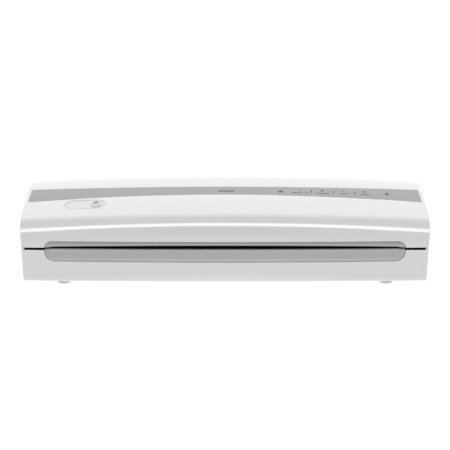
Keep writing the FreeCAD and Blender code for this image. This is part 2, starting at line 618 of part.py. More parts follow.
bar_parts.append(ramp(-ARM_X0))
bar_parts.append(ramp(ARM_X1))
TAB_Z0, TAB_Z1 = 71.2, 72.9
tab_up = box(KNOB_X - 6, KNOB_X + 6, BAR_Y0, BAR_Y0 + 2.0, BAR_Z1 - 1, TAB_Z1)
tab = box(KNOB_X - 6, KNOB_X + 6, PILL_Y - 5.0, BAR_Y0 + 2.0, TAB_Z0, TAB_Z1)
tab = tab.cut(cyl(1.55, (KNOB_X, PILL_Y, 60), (KNOB_X, PILL_Y, 80)))
tab = tab.cut(stadium(KNOB_X, PILL_Y, 3.6, 3.1, 60, 80))
bar_parts += [tab_up, tab]
bar = fuse(bar_parts)
save("release_bar", bar)

# ----------------------------------------------------------------------------------------------
# Side frames
# ----------------------------------------------------------------------------------------------
IDLER = None


def gear_centres():
    a = (Z_ROLLER + Z_IDLER) * MOD / 2 + 0.05
    b = (Z_PINION + Z_IDLER) * MOD / 2 + 0.05
    dy, dz = MOTOR_Y - ROLLER_Y, MOTOR_Z - LOW_Z
    d = math.hypot(dy, dz)
    x = (a * a - b * b + d * d) / (2 * d)
    hh = math.sqrt(a * a - x * x)
    uy, uz = dy / d, dz / d
    ny, nz = uz, -uy                 # the side below the line
    if nz > 0:
        ny, nz = -ny, -nz
    return ROLLER_Y + x * uy + hh * ny, LOW_Z + x * uz + hh * nz


IDLER_Y, IDLER_Z = gear_centres()
print("idler", IDLER_Y, IDLER_Z)
ROD_POS = [(-38.0, 17.0), (2.0, 14.5), (38.0, 66.0)]
BLOCK_HALF = 6.0


def side_frame(sx):
    x0, x1 = (FRAME_X, FRAME_X + FRAME_T) if sx > 0 else (-FRAME_X - FRAME_T, -FRAME_X)
    pts = [(-42, 9.5), (44, 9.5), (44, 70), (41, 73.5 - 1.5), (-28, FRAME_TOP), (-38, 62), (-42, 50), (-42, 9.5)]
    s = Part.Face(Part.makePolygon([V(x0, y, z) for y, z in pts])).extrude(V(x1 - x0, 0, 0))
    # feet tabs and the top flange, both turned outwards
    o0, o1 = (FRAME_X, FRAME_X + 13) if sx > 0 else (-FRAME_X - 13, -FRAME_X)
    s = s.multiFuse([box(o0, o1, -42, -22, 9.5, 11.0), box(o0, o1, 28, 44, 9.5, 11.0),
                     box(o0, o1, ROLLER_Y - 7, ROLLER_Y + 7, FRAME_TOP - 1.5, FRAME_TOP)])
    tools = []
    X0, X1 = x0 - 1, x1 + 1
    # lower bush seat
    tools.append(cyl(6.5, (X0, ROLLER_Y, LOW_Z), (X1, ROLLER_Y, LOW_Z)))
    # guide slot of the upper bearing block
    tools.append(box(X0, X1, ROLLER_Y - BLOCK_HALF, ROLLER_Y + BLOCK_HALF, UP_Z - 7.0, UP_Z + 9.0))
    # clearance for the pressure spring
    tools.append(box(X0, X1, ROLLER_Y - 3.2, ROLLER_Y + 3.2, UP_Z + 8.0, FRAME_TOP - 1.5))
    # window for the release bar
    tools.append(box(X0, X1, BAR_Y0 - 1, BAR_Y1 + 1, BAR_Z0 - 0.6, BAR_Z1 + LIFT + 0.6))
    # light holes
    tools.append(cyl(3.0, (X0, -30, 30), (X1, -30, 30)))
    tools.append(box(X0, X1, 14, 34, 52, 60))
    for y in (-32, 36):
        tools.append(cyl(1.75, (sx * 178, y, 5), (sx * 178, y, 15)))
    for y, z in ROD_POS:
        tools.append(cyl(1.6, (X0, y, z), (X1, y, z)))
    if sx > 0:
        tools.append(cyl(2.5, (X0, IDLER_Y, IDLER_Z), (X1, IDLER_Y, IDLER_Z)))
        tools.append(cyl(5.1, (X0, MOTOR_Y, MOTOR_Z), (X1, MOTOR_Y, MOTOR_Z)))
        for a in (45, 225):
            tools.append(cyl(1.55, (X0, MOTOR_Y + 12 * math.cos(math.radians(a)), MOTOR_Z + 12 * math.sin(math.radians(a))),
                             (X1, MOTOR_Y + 12 * math.cos(math.radians(a)), MOTOR_Z + 12 * math.sin(math.radians(a)))))
    return s.cut(Part.makeCompound(tools)).removeSplitter()


save("side_frame_left", side_frame(-1))
save("side_frame_right", side_frame(1))

rods = []
for y, z in ROD_POS:
    r = cyl(3.0, (-FRAME_X + 0.02, y, z), (FRAME_X - 0.02, y, z))
    r = r.cut(cyl(1.25, (-FRAME_X, y, z), (-FRAME_X + 12, y, z))).cut(cyl(1.25, (FRAME_X - 12, y, z), (FRAME_X, y, z)))
    rods.append(r)
save("tie_rods", rods)

# ----------------------------------------------------------------------------------------------
# Rollers
# ----------------------------------------------------------------------------------------------
def involute_gear(z, m, x0, x1, bore, yc, zc, phase, backlash=0.12):
    """Spur gear with its axis along X.  One tooth is centred on angle phase, measured from +Y towards +Z."""
    rp = z * m / 2
    al = math.radians(20)
    rb = rp * math.cos(al)
    ra = rp + m
    rf = rp - 1.25 * m
    inv = lambda a: math.tan(a) - a
    half = math.pi / (2 * z) - backlash / (2 * rp)     # half tooth angle on the pitch circle

    def tooth_half(r):
        if r <= rb:
            r = rb
        a = math.acos(rb / r)
        return half + inv(al) - inv(a)
    pts = []
    for i in range(z):
        c = phase + 2 * math.pi * i / z
        rs = [max(rb, rf) + (ra - max(rb, rf)) * j / 5.0 for j in range(6)]
        left = [(r, c - tooth_half(r)) for r in rs]
        right = [(r, c + tooth_half(r)) for r in reversed(rs)]
        seq = []
        if rf < rb:
            seq.append((rf, c - tooth_half(rb)))
        seq += left + right
        if rf < rb:
            seq.append((rf, c + tooth_half(rb)))
        pts += seq
    ps = [V(x0, yc + r * math.cos(a), zc + r * math.sin(a)) for r, a in pts]
    ps.append(ps[0])
    g = Part.Face(Part.makePolygon(ps)).extrude(V(x1 - x0, 0, 0))
    return g.cut(cyl(bore, (x0 - 1, yc, zc), (x1 + 1, yc, zc)))


def mesh_phase(z1, p1, c1, z2, c2):
    th = math.atan2(c2[1] - c1[1], c2[0] - c1[0])
    return th + math.pi - (z1 / z2) * (p1 - th) - math.pi / z2


c_low, c_up, c_idl, c_pin = (ROLLER_Y, LOW_Z), (ROLLER_Y, UP_Z), (IDLER_Y, IDLER_Z), (MOTOR_Y, MOTOR_Z)
p_low = 0.0
p_up = mesh_phase(Z_ROLLER, p_low, c_low, Z_ROLLER, c_up)
p_idl = mesh_phase(Z_ROLLER, p_low, c_low, Z_IDLER, c_idl)
p_pin = mesh_phase(Z_IDLER, p_idl, c_idl, Z_PINION, c_pin)


def shaft(zc):
    s = cyl(SHAFT_R, (-177.0, ROLLER_Y, zc), (184.5, ROLLER_Y, zc))
    # clip grooves near both ends
    for x in (-175.6, 182.9):
        s = s.cut(tube(SHAFT_R + 1, SHAFT_R - 0.8, (x, ROLLER_Y, zc), (x + 0.9, ROLLER_Y, zc)))
    # drive flat under the gear
    s = s.cut(box(GEAR_X0, 190, ROLLER_Y - 5, ROLLER_Y + 5, zc + SHAFT_R - 0.8, zc + SHAFT_R + 1))
    return s


def sleeve(zc):
    s = tube(ROLLER_R, SHAFT_R, (-ROLLER_HALF, ROLLER_Y, zc), (ROLLER_HALF, ROLLER_Y, zc))
    es = [e for e in s.Edges if abs(abs(e.CenterOfMass.x) - ROLLER_HALF) < 1e-6 and abs(e.Curve.Radius - ROLLER_R) < 1e-6]
    return s.makeChamfer(0.6, es)


def clips(zc):
    out = []
    for x in (-175.55, 182.95):
        c = tube(6.2, SHAFT_R - 0.75, (x, ROLLER_Y, zc), (x + 0.8, ROLLER_Y, zc))
        c = c.cut(box(x - 1, x + 2, ROLLER_Y - 2.4, ROLLER_Y + 2.4, zc - 8, zc))
        out.append(c)
    return out


def roller_gear(zc, ph):
    g = involute_gear(Z_ROLLER, MOD, GEAR_X0, GEAR_X1, SHAFT_R, ROLLER_Y, zc, ph)
    # the bore's flat matches the shaft's
    g = g.fuse(box(GEAR_X0, GEAR_X1, ROLLER_Y - 3.5, ROLLER_Y + 3.5, zc + SHAFT_R - 0.8, zc + SHAFT_R + 1.5))
    hub = tube(6.4, SHAFT_R, (GEAR_X1, ROLLER_Y, zc), (GEAR_X1 + 0.9, ROLLER_Y, zc)).fuse(
        box(GEAR_X1, GEAR_X1 + 0.9, ROLLER_Y - 3.0, ROLLER_Y + 3.0, zc + SHAFT_R - 0.8, zc + SHAFT_R + 1.5))
    return g.fuse(hub).removeSplitter()


save("lower_roller_shaft", shaft(LOW_Z))
save("lower_roller_sleeve", sleeve(LOW_Z))
save("lower_roller_gear", roller_gear(LOW_Z, p_low))
save("lower_shaft_clips", clips(LOW_Z))
save("upper_roller_shaft", shaft(UP_Z))
save("upper_roller_sleeve", sleeve(UP_Z))
save("upper_roller_gear", roller_gear(UP_Z, p_up))
save("upper_shaft_clips", clips(UP_Z))

# flanged bushes carry the lower shaft
bushes = []
for sx in (-1, 1):
    xi = sx * (FRAME_X - 1.8)
    xo = sx * (FRAME_X + FRAME_T + 1.4)
    body = cyl(6.48, (xi, ROLLER_Y, LOW_Z), (xo, ROLLER_Y, LOW_Z))
    fl = cyl(8.5, (xi, ROLLER_Y, LOW_Z), (sx * (FRAME_X - 0.02), ROLLER_Y, LOW_Z))
    b = body.fuse(fl).cut(cyl(SHAFT_R + RUN, (sx * 160, ROLLER_Y, LOW_Z), (sx * 180, ROLLER_Y, LOW_Z)))
    bushes.append(b.removeSplitter())
save("lower_bushes", bushes)


def bearing_block(sx):
    """Sliding block: a body in the frame slot, a flange inside, a flange outside with the lifting arm."""
    def X(a, b):
        return (sx * a, sx * b) if sx > 0 else (sx * b, sx * a)
    x0, x1 = X(FRAME_X - 1.6, FRAME_X + FRAME_T + 2.6)
    zl, zh = UP_Z - 6.9, UP_Z + 6.2
    parts = [box(x0, x1, ROLLER_Y - BLOCK_HALF + 0.06, ROLLER_Y + BLOCK_HALF - 0.06, zl, zh)]
    i0, i1 = X(FRAME_X - 1.6, FRAME_X - 0.1)
    parts.append(box(i0, i1, ROLLER_Y - 8, ROLLER_Y + 8, zl, zh))
    a0, a1 = X(ARM_X0, ARM_X1)
    z_arm = BAR_Z1 + 0.06
    if sx < 0:
        a0, a1 = -ARM_X1, -ARM_X0
    parts.append(box(a0, a1, ROLLER_Y - 7.6, ROLLER_Y + 7.6, zl, zh))
    parts.append(box(a0, a1, ROLLER_Y + 5.0, BAR_Y0 - 1.2, zh - 5.0, zh))
    parts.append(box(a0, a1, ROLLER_Y + 7.5, BAR_Y0 - 1.2, zh - 5.0, z_arm + 3.4))
    parts.append(box(a0, a1, ROLLER_Y + 7.5, BAR_Y1 - 1.0, z_arm, z_arm + 3.4))
    b = parts[0].multiFuse(parts[1:])
    b = b.cut(cyl(SHAFT_R + RUN, (sx * 160, ROLLER_Y, UP_Z), (sx * 180, ROLLER_Y, UP_Z)))
    return b.removeSplitter()


save("upper_bearings", [bearing_block(-1), bearing_block(1)])


# pressure springs between the block and the frame's top flange
def coil(r, wire, z0, z1, turns, x, y):
    """Open coil from short straight wire lengths, closed to a solid ring by ring."""
    n, m = 20, 8
    rise = (z1 - z0 - wire) / turns
    rings = []
    for i in range(int(turns * n) + 1):
        a = 2 * math.pi * i / n
        c = V(x + r * math.cos(a), y + r * math.sin(a), z0 + wire / 2 + rise * i / n)
        e1 = V(math.cos(a), math.sin(a), 0)
        e2 = V(0, 0, 1)
        rings.append([c + e1 * (wire / 2 * math.cos(2 * math.pi * j / m)) + e2 * (wire / 2 * math.sin(2 * math.pi * j / m)) for j in range(m)])
    faces = []

    def tri(p, q2, s2):
        faces.append(Part.Face(Part.makePolygon([p, q2, s2, p])))
    for i in range(len(rings) - 1):
        A, B = rings[i], rings[i + 1]
        for j in range(m):
            jj = (j + 1) % m
            tri(A[j], A[jj], B[j])
            tri(A[jj], B[jj], B[j])
    for ring, rev in ((rings[0], True), (rings[-1], False)):
        for j in range(1, m - 1):
            tri(ring[0], ring[j], ring[j + 1])
    return Part.makeSolid(Part.makeShell(faces))


springs = []
for sx in (-1, 1):
    z0, z1 = UP_Z + 6.25, FRAME_TOP - 1.55
    springs.append(coil(2.2, 0.6, z0, z1, 5, sx * (FRAME_X + FRAME_T + 0.6), ROLLER_Y))
save("pressure_springs", springs)

# ----------------------------------------------------------------------------------------------
# Drive
# ----------------------------------------------------------------------------------------------
ig = involute_gear(Z_IDLER, MOD, GEAR_X0, GEAR_X1, 3.0 + RUN, IDLER_Y, IDLER_Z, p_idl)
hub = tube(5.5, 3.0 + RUN, (GEAR_X0 - 2.2, IDLER_Y, IDLER_Z), (GEAR_X0, IDLER_Y, IDLER_Z))
ig = ig.cut(tube(10.5, 6.0, (GEAR_X1 - 1.6, IDLER_Y, IDLER_Z), (GEAR_X1 + 1, IDLER_Y, IDLER_Z))).fuse(hub).removeSplitter()
save("idler_gear", ig)
pin = fuse([cyl(2.48, (FRAME_X - 0.8, IDLER_Y, IDLER_Z), (FRAME_X + FRAME_T + 0.02, IDLER_Y, IDLER_Z)),
            cyl(4.2, (FRAME_X - 2.0, IDLER_Y, IDLER_Z), (FRAME_X - 0.02, IDLER_Y, IDLER_Z)),
            cyl(3.0, (FRAME_X + FRAME_T + 0.02, IDLER_Y, IDLER_Z), (GEAR_X1 + 1.6, IDLER_Y, IDLER_Z)),
            cyl(5.0, (FRAME_X + FRAME_T + 0.02, IDLER_Y, IDLER_Z), (GEAR_X0 - 2.4, IDLER_Y, IDLER_Z))])
pin = pin.cut(tube(4.0, 2.3, (GEAR_X1 + 0.5, IDLER_Y, IDLER_Z), (GEAR_X1 + 1.15, IDLER_Y, IDLER_Z)))
save("idler_pin", pin)
clip = tube(4.6, 2.35, (GEAR_X1 + 0.53, IDLER_Y, IDLER_Z), (GEAR_X1 + 1.1, IDLER_Y, IDLER_Z))
clip = clip.cut(box(GEAR_X1, GEAR_X1 + 2, IDLER_Y - 1.7, IDLER_Y + 1.7, IDLER_Z - 6, IDLER_Z))
save("idler_clip", clip)

pg = involute_gear(Z_PINION, MOD, GEAR_X0, GEAR_X1, 2.0, MOTOR_Y, MOTOR_Z, p_pin)
pg = pg.fuse(tube(4.5, 2.0, (GEAR_X0 - 3.0, MOTOR_Y, MOTOR_Z), (GEAR_X0, MOTOR_Y, MOTOR_Z))).removeSplitter()
save("motor_pinion", pg)
save("motor_shaft", cyl(2.0, (163.0, MOTOR_Y, MOTOR_Z), (GEAR_X1 + 0.6, MOTOR_Y, MOTOR_Z)))
# geared motor: can, gearbox, two ears on the frame
mot = [cyl(MOTOR_R, (158.0, MOTOR_Y, MOTOR_Z), (FRAME_X - 0.05, MOTOR_Y, MOTOR_Z)),
       cyl(MOTOR_R - 1.5, (132.0, MOTOR_Y, MOTOR_Z), (158.0, MOTOR_Y, MOTOR_Z)),
       cyl(5.0, (FRAME_X - 0.05, MOTOR_Y, MOTOR_Z), (FRAME_X + FRAME_T + 0.4, MOTOR_Y, MOTOR_Z)),
       cyl(4.0, (129.5, MOTOR_Y, MOTOR_Z), (132.0, MOTOR_Y, MOTOR_Z))]
m = fuse(mot)
m = m.cut(cyl(2.0 + RUN, (162.5, MOTOR_Y, MOTOR_Z), (180, MOTOR_Y, MOTOR_Z)))
for a in (45, 225):
    yy, zz = MOTOR_Y + 12 * math.cos(math.radians(a)), MOTOR_Z + 12 * math.sin(math.radians(a))
    m = m.cut(cyl(1.25, (162, yy, zz), (171, yy, zz)))
save("drive_motor", m.removeSplitter())


def screw(x, y, z, d, rs, ls, rh, hh):
    """Pan-head screw: head outer face at p, shank along direction d."""
    p, d = V(x, y, z), V(*d)
    d.normalize()
    head = Part.makeCylinder(rh, hh, p, d)
    e = [ed for ed in head.Edges if ed.Curve.TypeId == "Part::GeomCircle" and (ed.Curve.Center - p).Length < 1e-6]
    head = head.makeFillet(min(hh, rh) * 0.45, e)
    sh = Part.makeCylinder(rs, ls + 0.01, p + d * (hh - 0.01), d)
    s = head.fuse(sh)
    # cross recess
    u = d.cross(V(0.3, 0.5, 0.8))
    u.normalize()
    w = d.cross(u)
    for a, b in ((u, w), (w, u)):
        c = p - a * (rh * 0.55) - b * (rh * 0.12) - d * 0.01
        f = Part.Face(Part.makePolygon([c, c + a * (rh * 1.1), c + a * (rh * 1.1) + b * (rh * 0.24), c + b * (rh * 0.24), c]))
        s = s.cut(f.extrude(d * (hh * 0.5)))
    return s.removeSplitter()


ms = []
for a in (45, 225):
    yy, zz = MOTOR_Y + 12 * math.cos(math.radians(a)), MOTOR_Z + 12 * math.sin(math.radians(a))
    ms.append(screw(FRAME_X + FRAME_T + 0.02 + 1.8, yy, zz, (-1, 0, 0), 1.2, 7.5, 2.6, 1.8))

fs = []
for sx in (-1, 1):
    for y in (-32, 36):
        fs.append(screw(sx * 178, y, 11.02 + 2.0, (0, 0, -1), 1.15, 3.4, 3.0, 2.0))
rs_ = []
for y, z in ROD_POS:
    for sx in (-1, 1):
        rs_.append(screw(sx * (FRAME_X + FRAME_T + 0.02 + 2.0), y, z, (-sx, 0, 0), 1.2, 9.5, 3.0, 2.0))
save("frame_screws", ms + fs + rs_)
cs = []
for x in (-196, 196):
    for y in (-36, 38):
        cs.append(screw(x, y, 35.6, (0, 0, 1), 1.25, 28.0, 3.0, 2.3))
save("case_screws", cs)


# ----------------------------------------------------------------------------------------------
# Heating
# ----------------------------------------------------------------------------------------------
def sector(yc, zc, r0, r1, a0, a1, x0, x1):
    """Part of a ring along X, from angle a0 to a1 in degrees, measured from +Y towards +Z."""
    a0, a1 = math.radians(a0), math.radians(a1)
    am = (a0 + a1) / 2
    P = lambda r, a: (x0, yc + r * math.cos(a), zc + r * math.sin(a))
    w = Part.Wire([arc(P(r0, a0), P(r0, am), P(r0, a1)), line(P(r0, a1), P(r1, a1)),
                   arc(P(r1, a1), P(r1, am), P(r1, a0)), line(P(r1, a0), P(r0, a0))])
    return Part.Face(w).extrude(V(x1 - x0, 0, 0))


SHOE0, SHOE1 = ROLLER_R + 0.8, ROLLER_R + 3.8
for name, zc, a0, a1, e0, e1 in (("lower", LOW_Z, 150, 250, 168, 228), ("upper", UP_Z, 118, 210, 134, 194)):
    shoe = sector(ROLLER_Y, zc, SHOE0, SHOE1, a0, a1, -166.5, 166.5)
    # grooves take the two edge returns of the foil heater
    save("heater_shoe_" + name, shoe)
    save("heater_element_" + name, sector(ROLLER_Y, zc, SHOE1 + 0.05, SHOE1 + 0.9, e0, e1, -158, 158))
    sh = sector(ROLLER_Y, zc, SHOE1 + 2.0, SHOE1 + 2.5, a0 + (4 if name == "lower" else 10), a1 - 4, -167.5, 167.5)
    save("heat_shield_" + name, sh)


def radial(zc, ang, r0, r1, rad, x):
    a = math.radians(ang)
    return cyl(rad, (x, ROLLER_Y + r0 * math.cos(a), zc + r0 * math.sin(a)), (x, ROLLER_Y + r1 * math.cos(a), zc + r1 * math.sin(a)))


# bimetal thermostat and one-shot fuse clipped on the shields
th = fuse([radial(UP_Z, 165, SHOE1 + 2.56, SHOE1 + 6.5, 7.0, 20), radial(UP_Z, 165, SHOE1 + 6.4, SHOE1 + 9.5, 5.5, 20)])
save("thermostat", th)
a = math.radians(200)
ry, rz = ROLLER_Y + (SHOE1 + 4.7) * math.cos(a), LOW_Z + (SHOE1 + 4.7) * math.sin(a)
save("thermal_fuse", fuse([cyl(2.1, (-30, ry, rz), (-18, ry, rz)), cyl(0.5, (-40, ry, rz), (-8, ry, rz))]))
# moulded end blocks that hold shoes and shields to the frames
for name, zc, a0, a1 in (("lower", LOW_Z, 172, 236), ("upper", UP_Z, 130, 190)):
    hold = []
    for x0, x1 in ((FRAME_X - 2.3, FRAME_X - 0.05), (-FRAME_X + 0.05, -FRAME_X + 2.3)):
        hold.append(sector(ROLLER_Y, zc, SHOE0 + 0.2, SHOE1 + 2.4, a0, a1, x0, x1))
    save(name + "_shoe_holders", hold)

# ----------------------------------------------------------------------------------------------
# Pouch guides
# ----------------------------------------------------------------------------------------------
def guide(pts, x):
    return Part.Face(Part.makePolygon([V(-x, y, z) for y, z in pts] + [V(-x, pts[0][0], pts[0][1])])).extrude(V(2 * x, 0, 0))


GX = 164.5
AP = 181.0       # the front aprons close off the whole slot behind the bezels
egl = guide([(-43.9, 42.4), (-43.9, 44.1), (-30, 44.75), (-22.0, 44.95), (-22.0, 43.8), (-30, 43.5)], GX)
egl = fuse([egl, box(-AP, AP, -43.9, -42.3, 33.0, 44.0)])
save("entry_guide_lower", egl)
# the upper guide arches with the lip at the front and is straight at the rollers
def upper_guide_section(x):
    z = slot_hi(min(abs(x), 175.0)) + 0.1
    P = lambda y, zz: V(x, y, zz)
    return Part.makePolygon([P(-43.8, z), P(-43.8, z + 1.4), P(-30, 48.3), P(-22.0, 47.6), P(-22.0, 46.5), P(-30, 46.9), P(-43.8, z)])


gxs = [-GX, -130, -85, -40, 0, 40, 85, 130, GX]
egu = Part.makeLoft([upper_guide_section(x) for x in gxs], True, True)
def apron_section(x):
    z = slot_hi(min(abs(x), 175.0)) + 0.2
    return Part.makePolygon([V(x, -43.8, z), V(x, -42.3, z), V(x, -42.3, 57.0), V(x, -43.8, 57.0), V(x, -43.8, z)])


egu = fuse([egu, Part.makeLoft([apron_section(x) for x in [-AP] + gxs + [AP]], True, True)])
save("entry_guide_upper", egu)


def exit_guide(lower):
    if lower:
        s = guide([(-5.5, 43.4), (-5.5, 44.5), (0, 44.6), (43.8, 43.5), (43.8, 42.2), (0, 43.3)], GX)
        ribs = [guide([(0, 43.35), (43.0, 42.25), (43.0, 40.2), (30, 38.4), (6, 38.4), (0, 41.0)], 0.75)]
    else:
        s = guide([(-5.5, 48.0), (-5.5, 46.9), (0, 46.8), (43.8, 48.05), (43.8, 49.3), (0, 48.1)], GX)
        ribs = [guide([(0, 48.05), (43.0, 49.2), (43.0, 51.0), (30, 53.5), (6, 53.5), (0, 50.4)], 0.75)]
    out = [s]
    for i in range(-7, 8):
        x = i * 20.0
        if lower and x > 120:
            continue
        r = ribs[0].copy()
        r.translate(V(x, 0, 0))
        out.append(r)
    return fuse(out)


save("exit_guide_lower", exit_guide(True))
save("exit_guide_upper", exit_guide(False))

# ----------------------------------------------------------------------------------------------
# Controls and electrics
# ----------------------------------------------------------------------------------------------
BOARD_Z0, BOARD_Z1 = 74.4, 76.0
pcb = box(48, 178.5, -4.0, 16.5, BOARD_Z0, BOARD_Z1)
pcb = pcb.cut(Part.makeCompound([cyl(1.6, (x, y, 70), (x, y, 80)) for x, y in ((52, -0.5), (52, 13), (174.8, 13.5), (163, -1.2))]))
save("control_board", pcb)
tact, leds = [], []
KEY_BOTTOM = {}
for x, y in KEY_POS:
    body_top = BOARD_Z1 + 1.6
    t = fuse([box(x - 3, x + 3, y - 3, y + 3, BOARD_Z1 + 0.02, body_top), cyl(1.5, (x, y, body_top - 0.1), (x, y, body_top + 0.5))])
    tact.append(t)
    KEY_BOTTOM[(x, y)] = body_top + 0.5 + 0.45
save("tact_switches", tact)
for x, y in LENS_POS:
    leds.append(box(x - 1.0, x + 1.0, y - 0.7, y + 0.7, BOARD_Z1 + 0.02, BOARD_Z1 + 0.9))
leds = leds + [box(110, 122, -2, 5, BOARD_Z1 + 0.02, BOARD_Z1 + 1.6)]
save("board_components", leds)

for name, (x, y) in (("power_key", KEY_POS[0]), ("mode_key", KEY_POS[1])):
    zt = top_z(x, y)
    zi = zt - WALL
    b = KEY_BOTTOM[(x, y)]
    cap = cyl(KEY_R, (x, y, b), (x, y, zt + 0.35))
    e = [ed for ed in cap.Edges if ed.Curve.TypeId == "Part::GeomCircle" and abs(ed.Curve.Center.z - zt - 0.35) < 1e-6]
    cap = cap.makeFillet(0.4, e)
    fl_top = zi - 0.35
    fl = cyl(KEY_R + 1.2, (x, y, max(b + 0.05, fl_top - 0.8)), (x, y, fl_top))
    save(name, cap.fuse(fl).removeSplitter())

lens = []
for x, y in LENS_POS:
    zt = top_z(x, y)
    lens.append(fuse([cyl(LENS_R, (x, y, BOARD_Z1 + 1.2), (x, y, zt + 0.02)),
                      cyl(LENS_R + 1.0, (x, y, zt - WALL - 1.2), (x, y, zt - WALL - 0.25))]))
save("indicator_lenses", lens)

# power board on the base, behind the rollers
pb = box(-92, -16, 14, 44, 12.0, 13.6)
save("power_board", pb)
comp = [box(-86, -68, 20, 34, 13.62, 29), box(-62, -46, 18, 38, 13.62, 27),
        cyl(5.0, (-36, 24, 13.62), (-36, 24, 30)), cyl(4.0, (-24, 36, 13.62), (-24, 36, 26)), box(-60, -34, 40.5, 43.5, 13.62, 20)]
save("power_components", comp)

# mains inlet: flanged socket with two recessed contacts
inl = rrect_face(INLET_X - 14, INLET_X + 14, INLET_Z - 10, INLET_Z + 10, 3, 3, Y_REAR + 0.05).extrude(V(0, 1.6, 0))
inl = inl.fuse(rrect_face(INLET_X - 11.9, INLET_X + 11.9, INLET_Z - 7.9, INLET_Z + 7.9, 2.4, 2.4, 36).extrude(V(0, Y_REAR + 0.1 - 36, 0)))
well = fuse([cyl(4.2, (INLET_X - 4.3, 40, INLET_Z), (INLET_X - 4.3, 60, INLET_Z)), cyl(4.2, (INLET_X + 4.3, 40, INLET_Z), (INLET_X + 4.3, 60, INLET_Z)),
             box(INLET_X - 4.3, INLET_X + 4.3, 40, 60, INLET_Z - 3.2, INLET_Z + 3.2)])
inl = inl.cut(well).removeSplitter()
save("mains_inlet", inl)
save("inlet_contacts", [cyl(1.25, (INLET_X + s * 4.3, 30, INLET_Z), (INLET_X + s * 4.3, 49.5, INLET_Z)).cut(box(-200, 0, 35.95, 40.05, 0, 40)) for s in (-1, 1)])

# rocker switch: housing and rocker, off at rest
rh = rrect_face(ROCK_X - 11, ROCK_X + 11, ROCK_Z - 8, ROCK_Z + 8, 1.2, 1.2, Y_REAR + 0.05).extrude(V(0, 1.8, 0))
rh = rh.fuse(rrect_face(ROCK_X - 9.5, ROCK_X + 9.5, ROCK_Z - 6.4, ROCK_Z + 6.4, 0.8, 0.8, 38).extrude(V(0, Y_REAR + 0.1 - 38, 0)))
rh = rh.cut(box(ROCK_X - 8.6, ROCK_X + 8.6, 44.5, 60, ROCK_Z - 5.5, ROCK_Z + 5.5))
tabs = [box(ROCK_X + dx - 2.4, ROCK_X + dx + 2.4, 31, 38.5, ROCK_Z - 0.4, ROCK_Z + 0.4) for dx in (-5, 5)]
rh = rh.multiFuse(tabs).removeSplitter()
# pivot pegs stand in the housing walls
PIV_Y = 50.8
rh = rh.cut(cyl(1.0, (ROCK_X, PIV_Y, ROCK_Z - 6.1), (ROCK_X, PIV_Y, ROCK_Z + 6.1)))
save("switch_housing", rh)
TH = math.radians(10)


def rocker():
    """Two sloped faces meeting over the pivot; tilted so that one half stands proud."""
    pts = [(-7.9, 2.0), (-7.9, -1.2), (-3.0, -3.2), (3.0, -3.2), (7.9, -1.2), (7.9, 2.0)]
    es = [line((a[0], a[1], 0), (b[0], b[1], 0)) for a, b in zip(pts[:-1], pts[1:])]
    es.append(arc((7.9, 2.0, 0), (0, 3.1 - 1.6, 0), (-7.9, 2.0, 0)))
    s = Part.Face(Part.Wire(es)).extrude(V(0, 0, 10.6))
    s.translate(V(0, 0, -5.3))
    s = s.fuse(cyl(0.95, (0, 0, -5.9), (0, 0, 5.9)))
    s.rotate(V(0, 0, 0), V(0, 0, 1), -10)
    s.translate(V(ROCK_X, PIV_Y, ROCK_Z))
    return s.removeSplitter()


save("mains_rocker", rocker())


def wire_run(pts, r):
    """Round wire along a path of straight runs with ball joints at the bends."""
    out = []
    for a, b in zip(pts[:-1], pts[1:]):
        out.append(cyl(r, a, b))
    for p in pts[1:-1]:
        out.append(Part.makeSphere(r, V(*p)))
    return fuse(out)


wires = [
    wire_run([(INLET_X - 4.3, 29.9, INLET_Z), (INLET_X - 4.3, 26, INLET_Z), (INLET_X - 4.3, 26, 12), (-95, 26, 12), (-95, 30, 15.2), (-86.6, 30, 15.2)], 0.9),
    wire_run([(ROCK_X + 5, 30.9, ROCK_Z), (ROCK_X + 5, 29, ROCK_Z), (-98, 29, 20), (-86.2, 29, 20)], 0.9),
    wire_run([(-30, 42.0, 15.5), (0, 42.0, 20.0), (0, 48.2, 30.0), (176, 48.2, 32.0), (188, 46, 44), (188, 44, 66), (188, 14, 75.2), (178.7, 14, 75.2)], 0.9),
]
save("wiring", wires)

# feet: domed rubber buttons with a stud into the base
feet = []
for x in (-FOOT_X, FOOT_X):
    for y in (FOOT_YF, FOOT_YR):
        w = Part.Wire([line((0, 0, 0), (FOOT_FLAT_R, 0, 0)), arc((FOOT_FLAT_R, 0, 0), (FOOT_R - 0.36, 0, 0.36), (FOOT_R, 0, 1.2)), line((FOOT_R, 0, 1.2), (FOOT_R, 0, CASE_BOTTOM - 0.02)),
                       line((FOOT_R, 0, CASE_BOTTOM - 0.02), (1.9, 0, CASE_BOTTOM - 0.02)), line((1.9, 0, CASE_BOTTOM - 0.02), (1.9, 0, 8.2)), line((1.9, 0, 8.2), (0, 0, 8.2)), line((0, 0, 8.2), (0, 0, 0))])
        f = Part.Face(w).revolve(V(0, 0, 0), V(0, 0, 1), 360)
        f.translate(V(x, y, 0))
        feet.append(f)
save("rubber_feet", feet)

print("nodes", len(SHAPES))
print("knob tilt deg", KNOB_TILT_DEG, "knob", KNOB_X, PILL_Y, kz, "ratio", RAMP_L, KNOB_TRAVEL, LIFT)
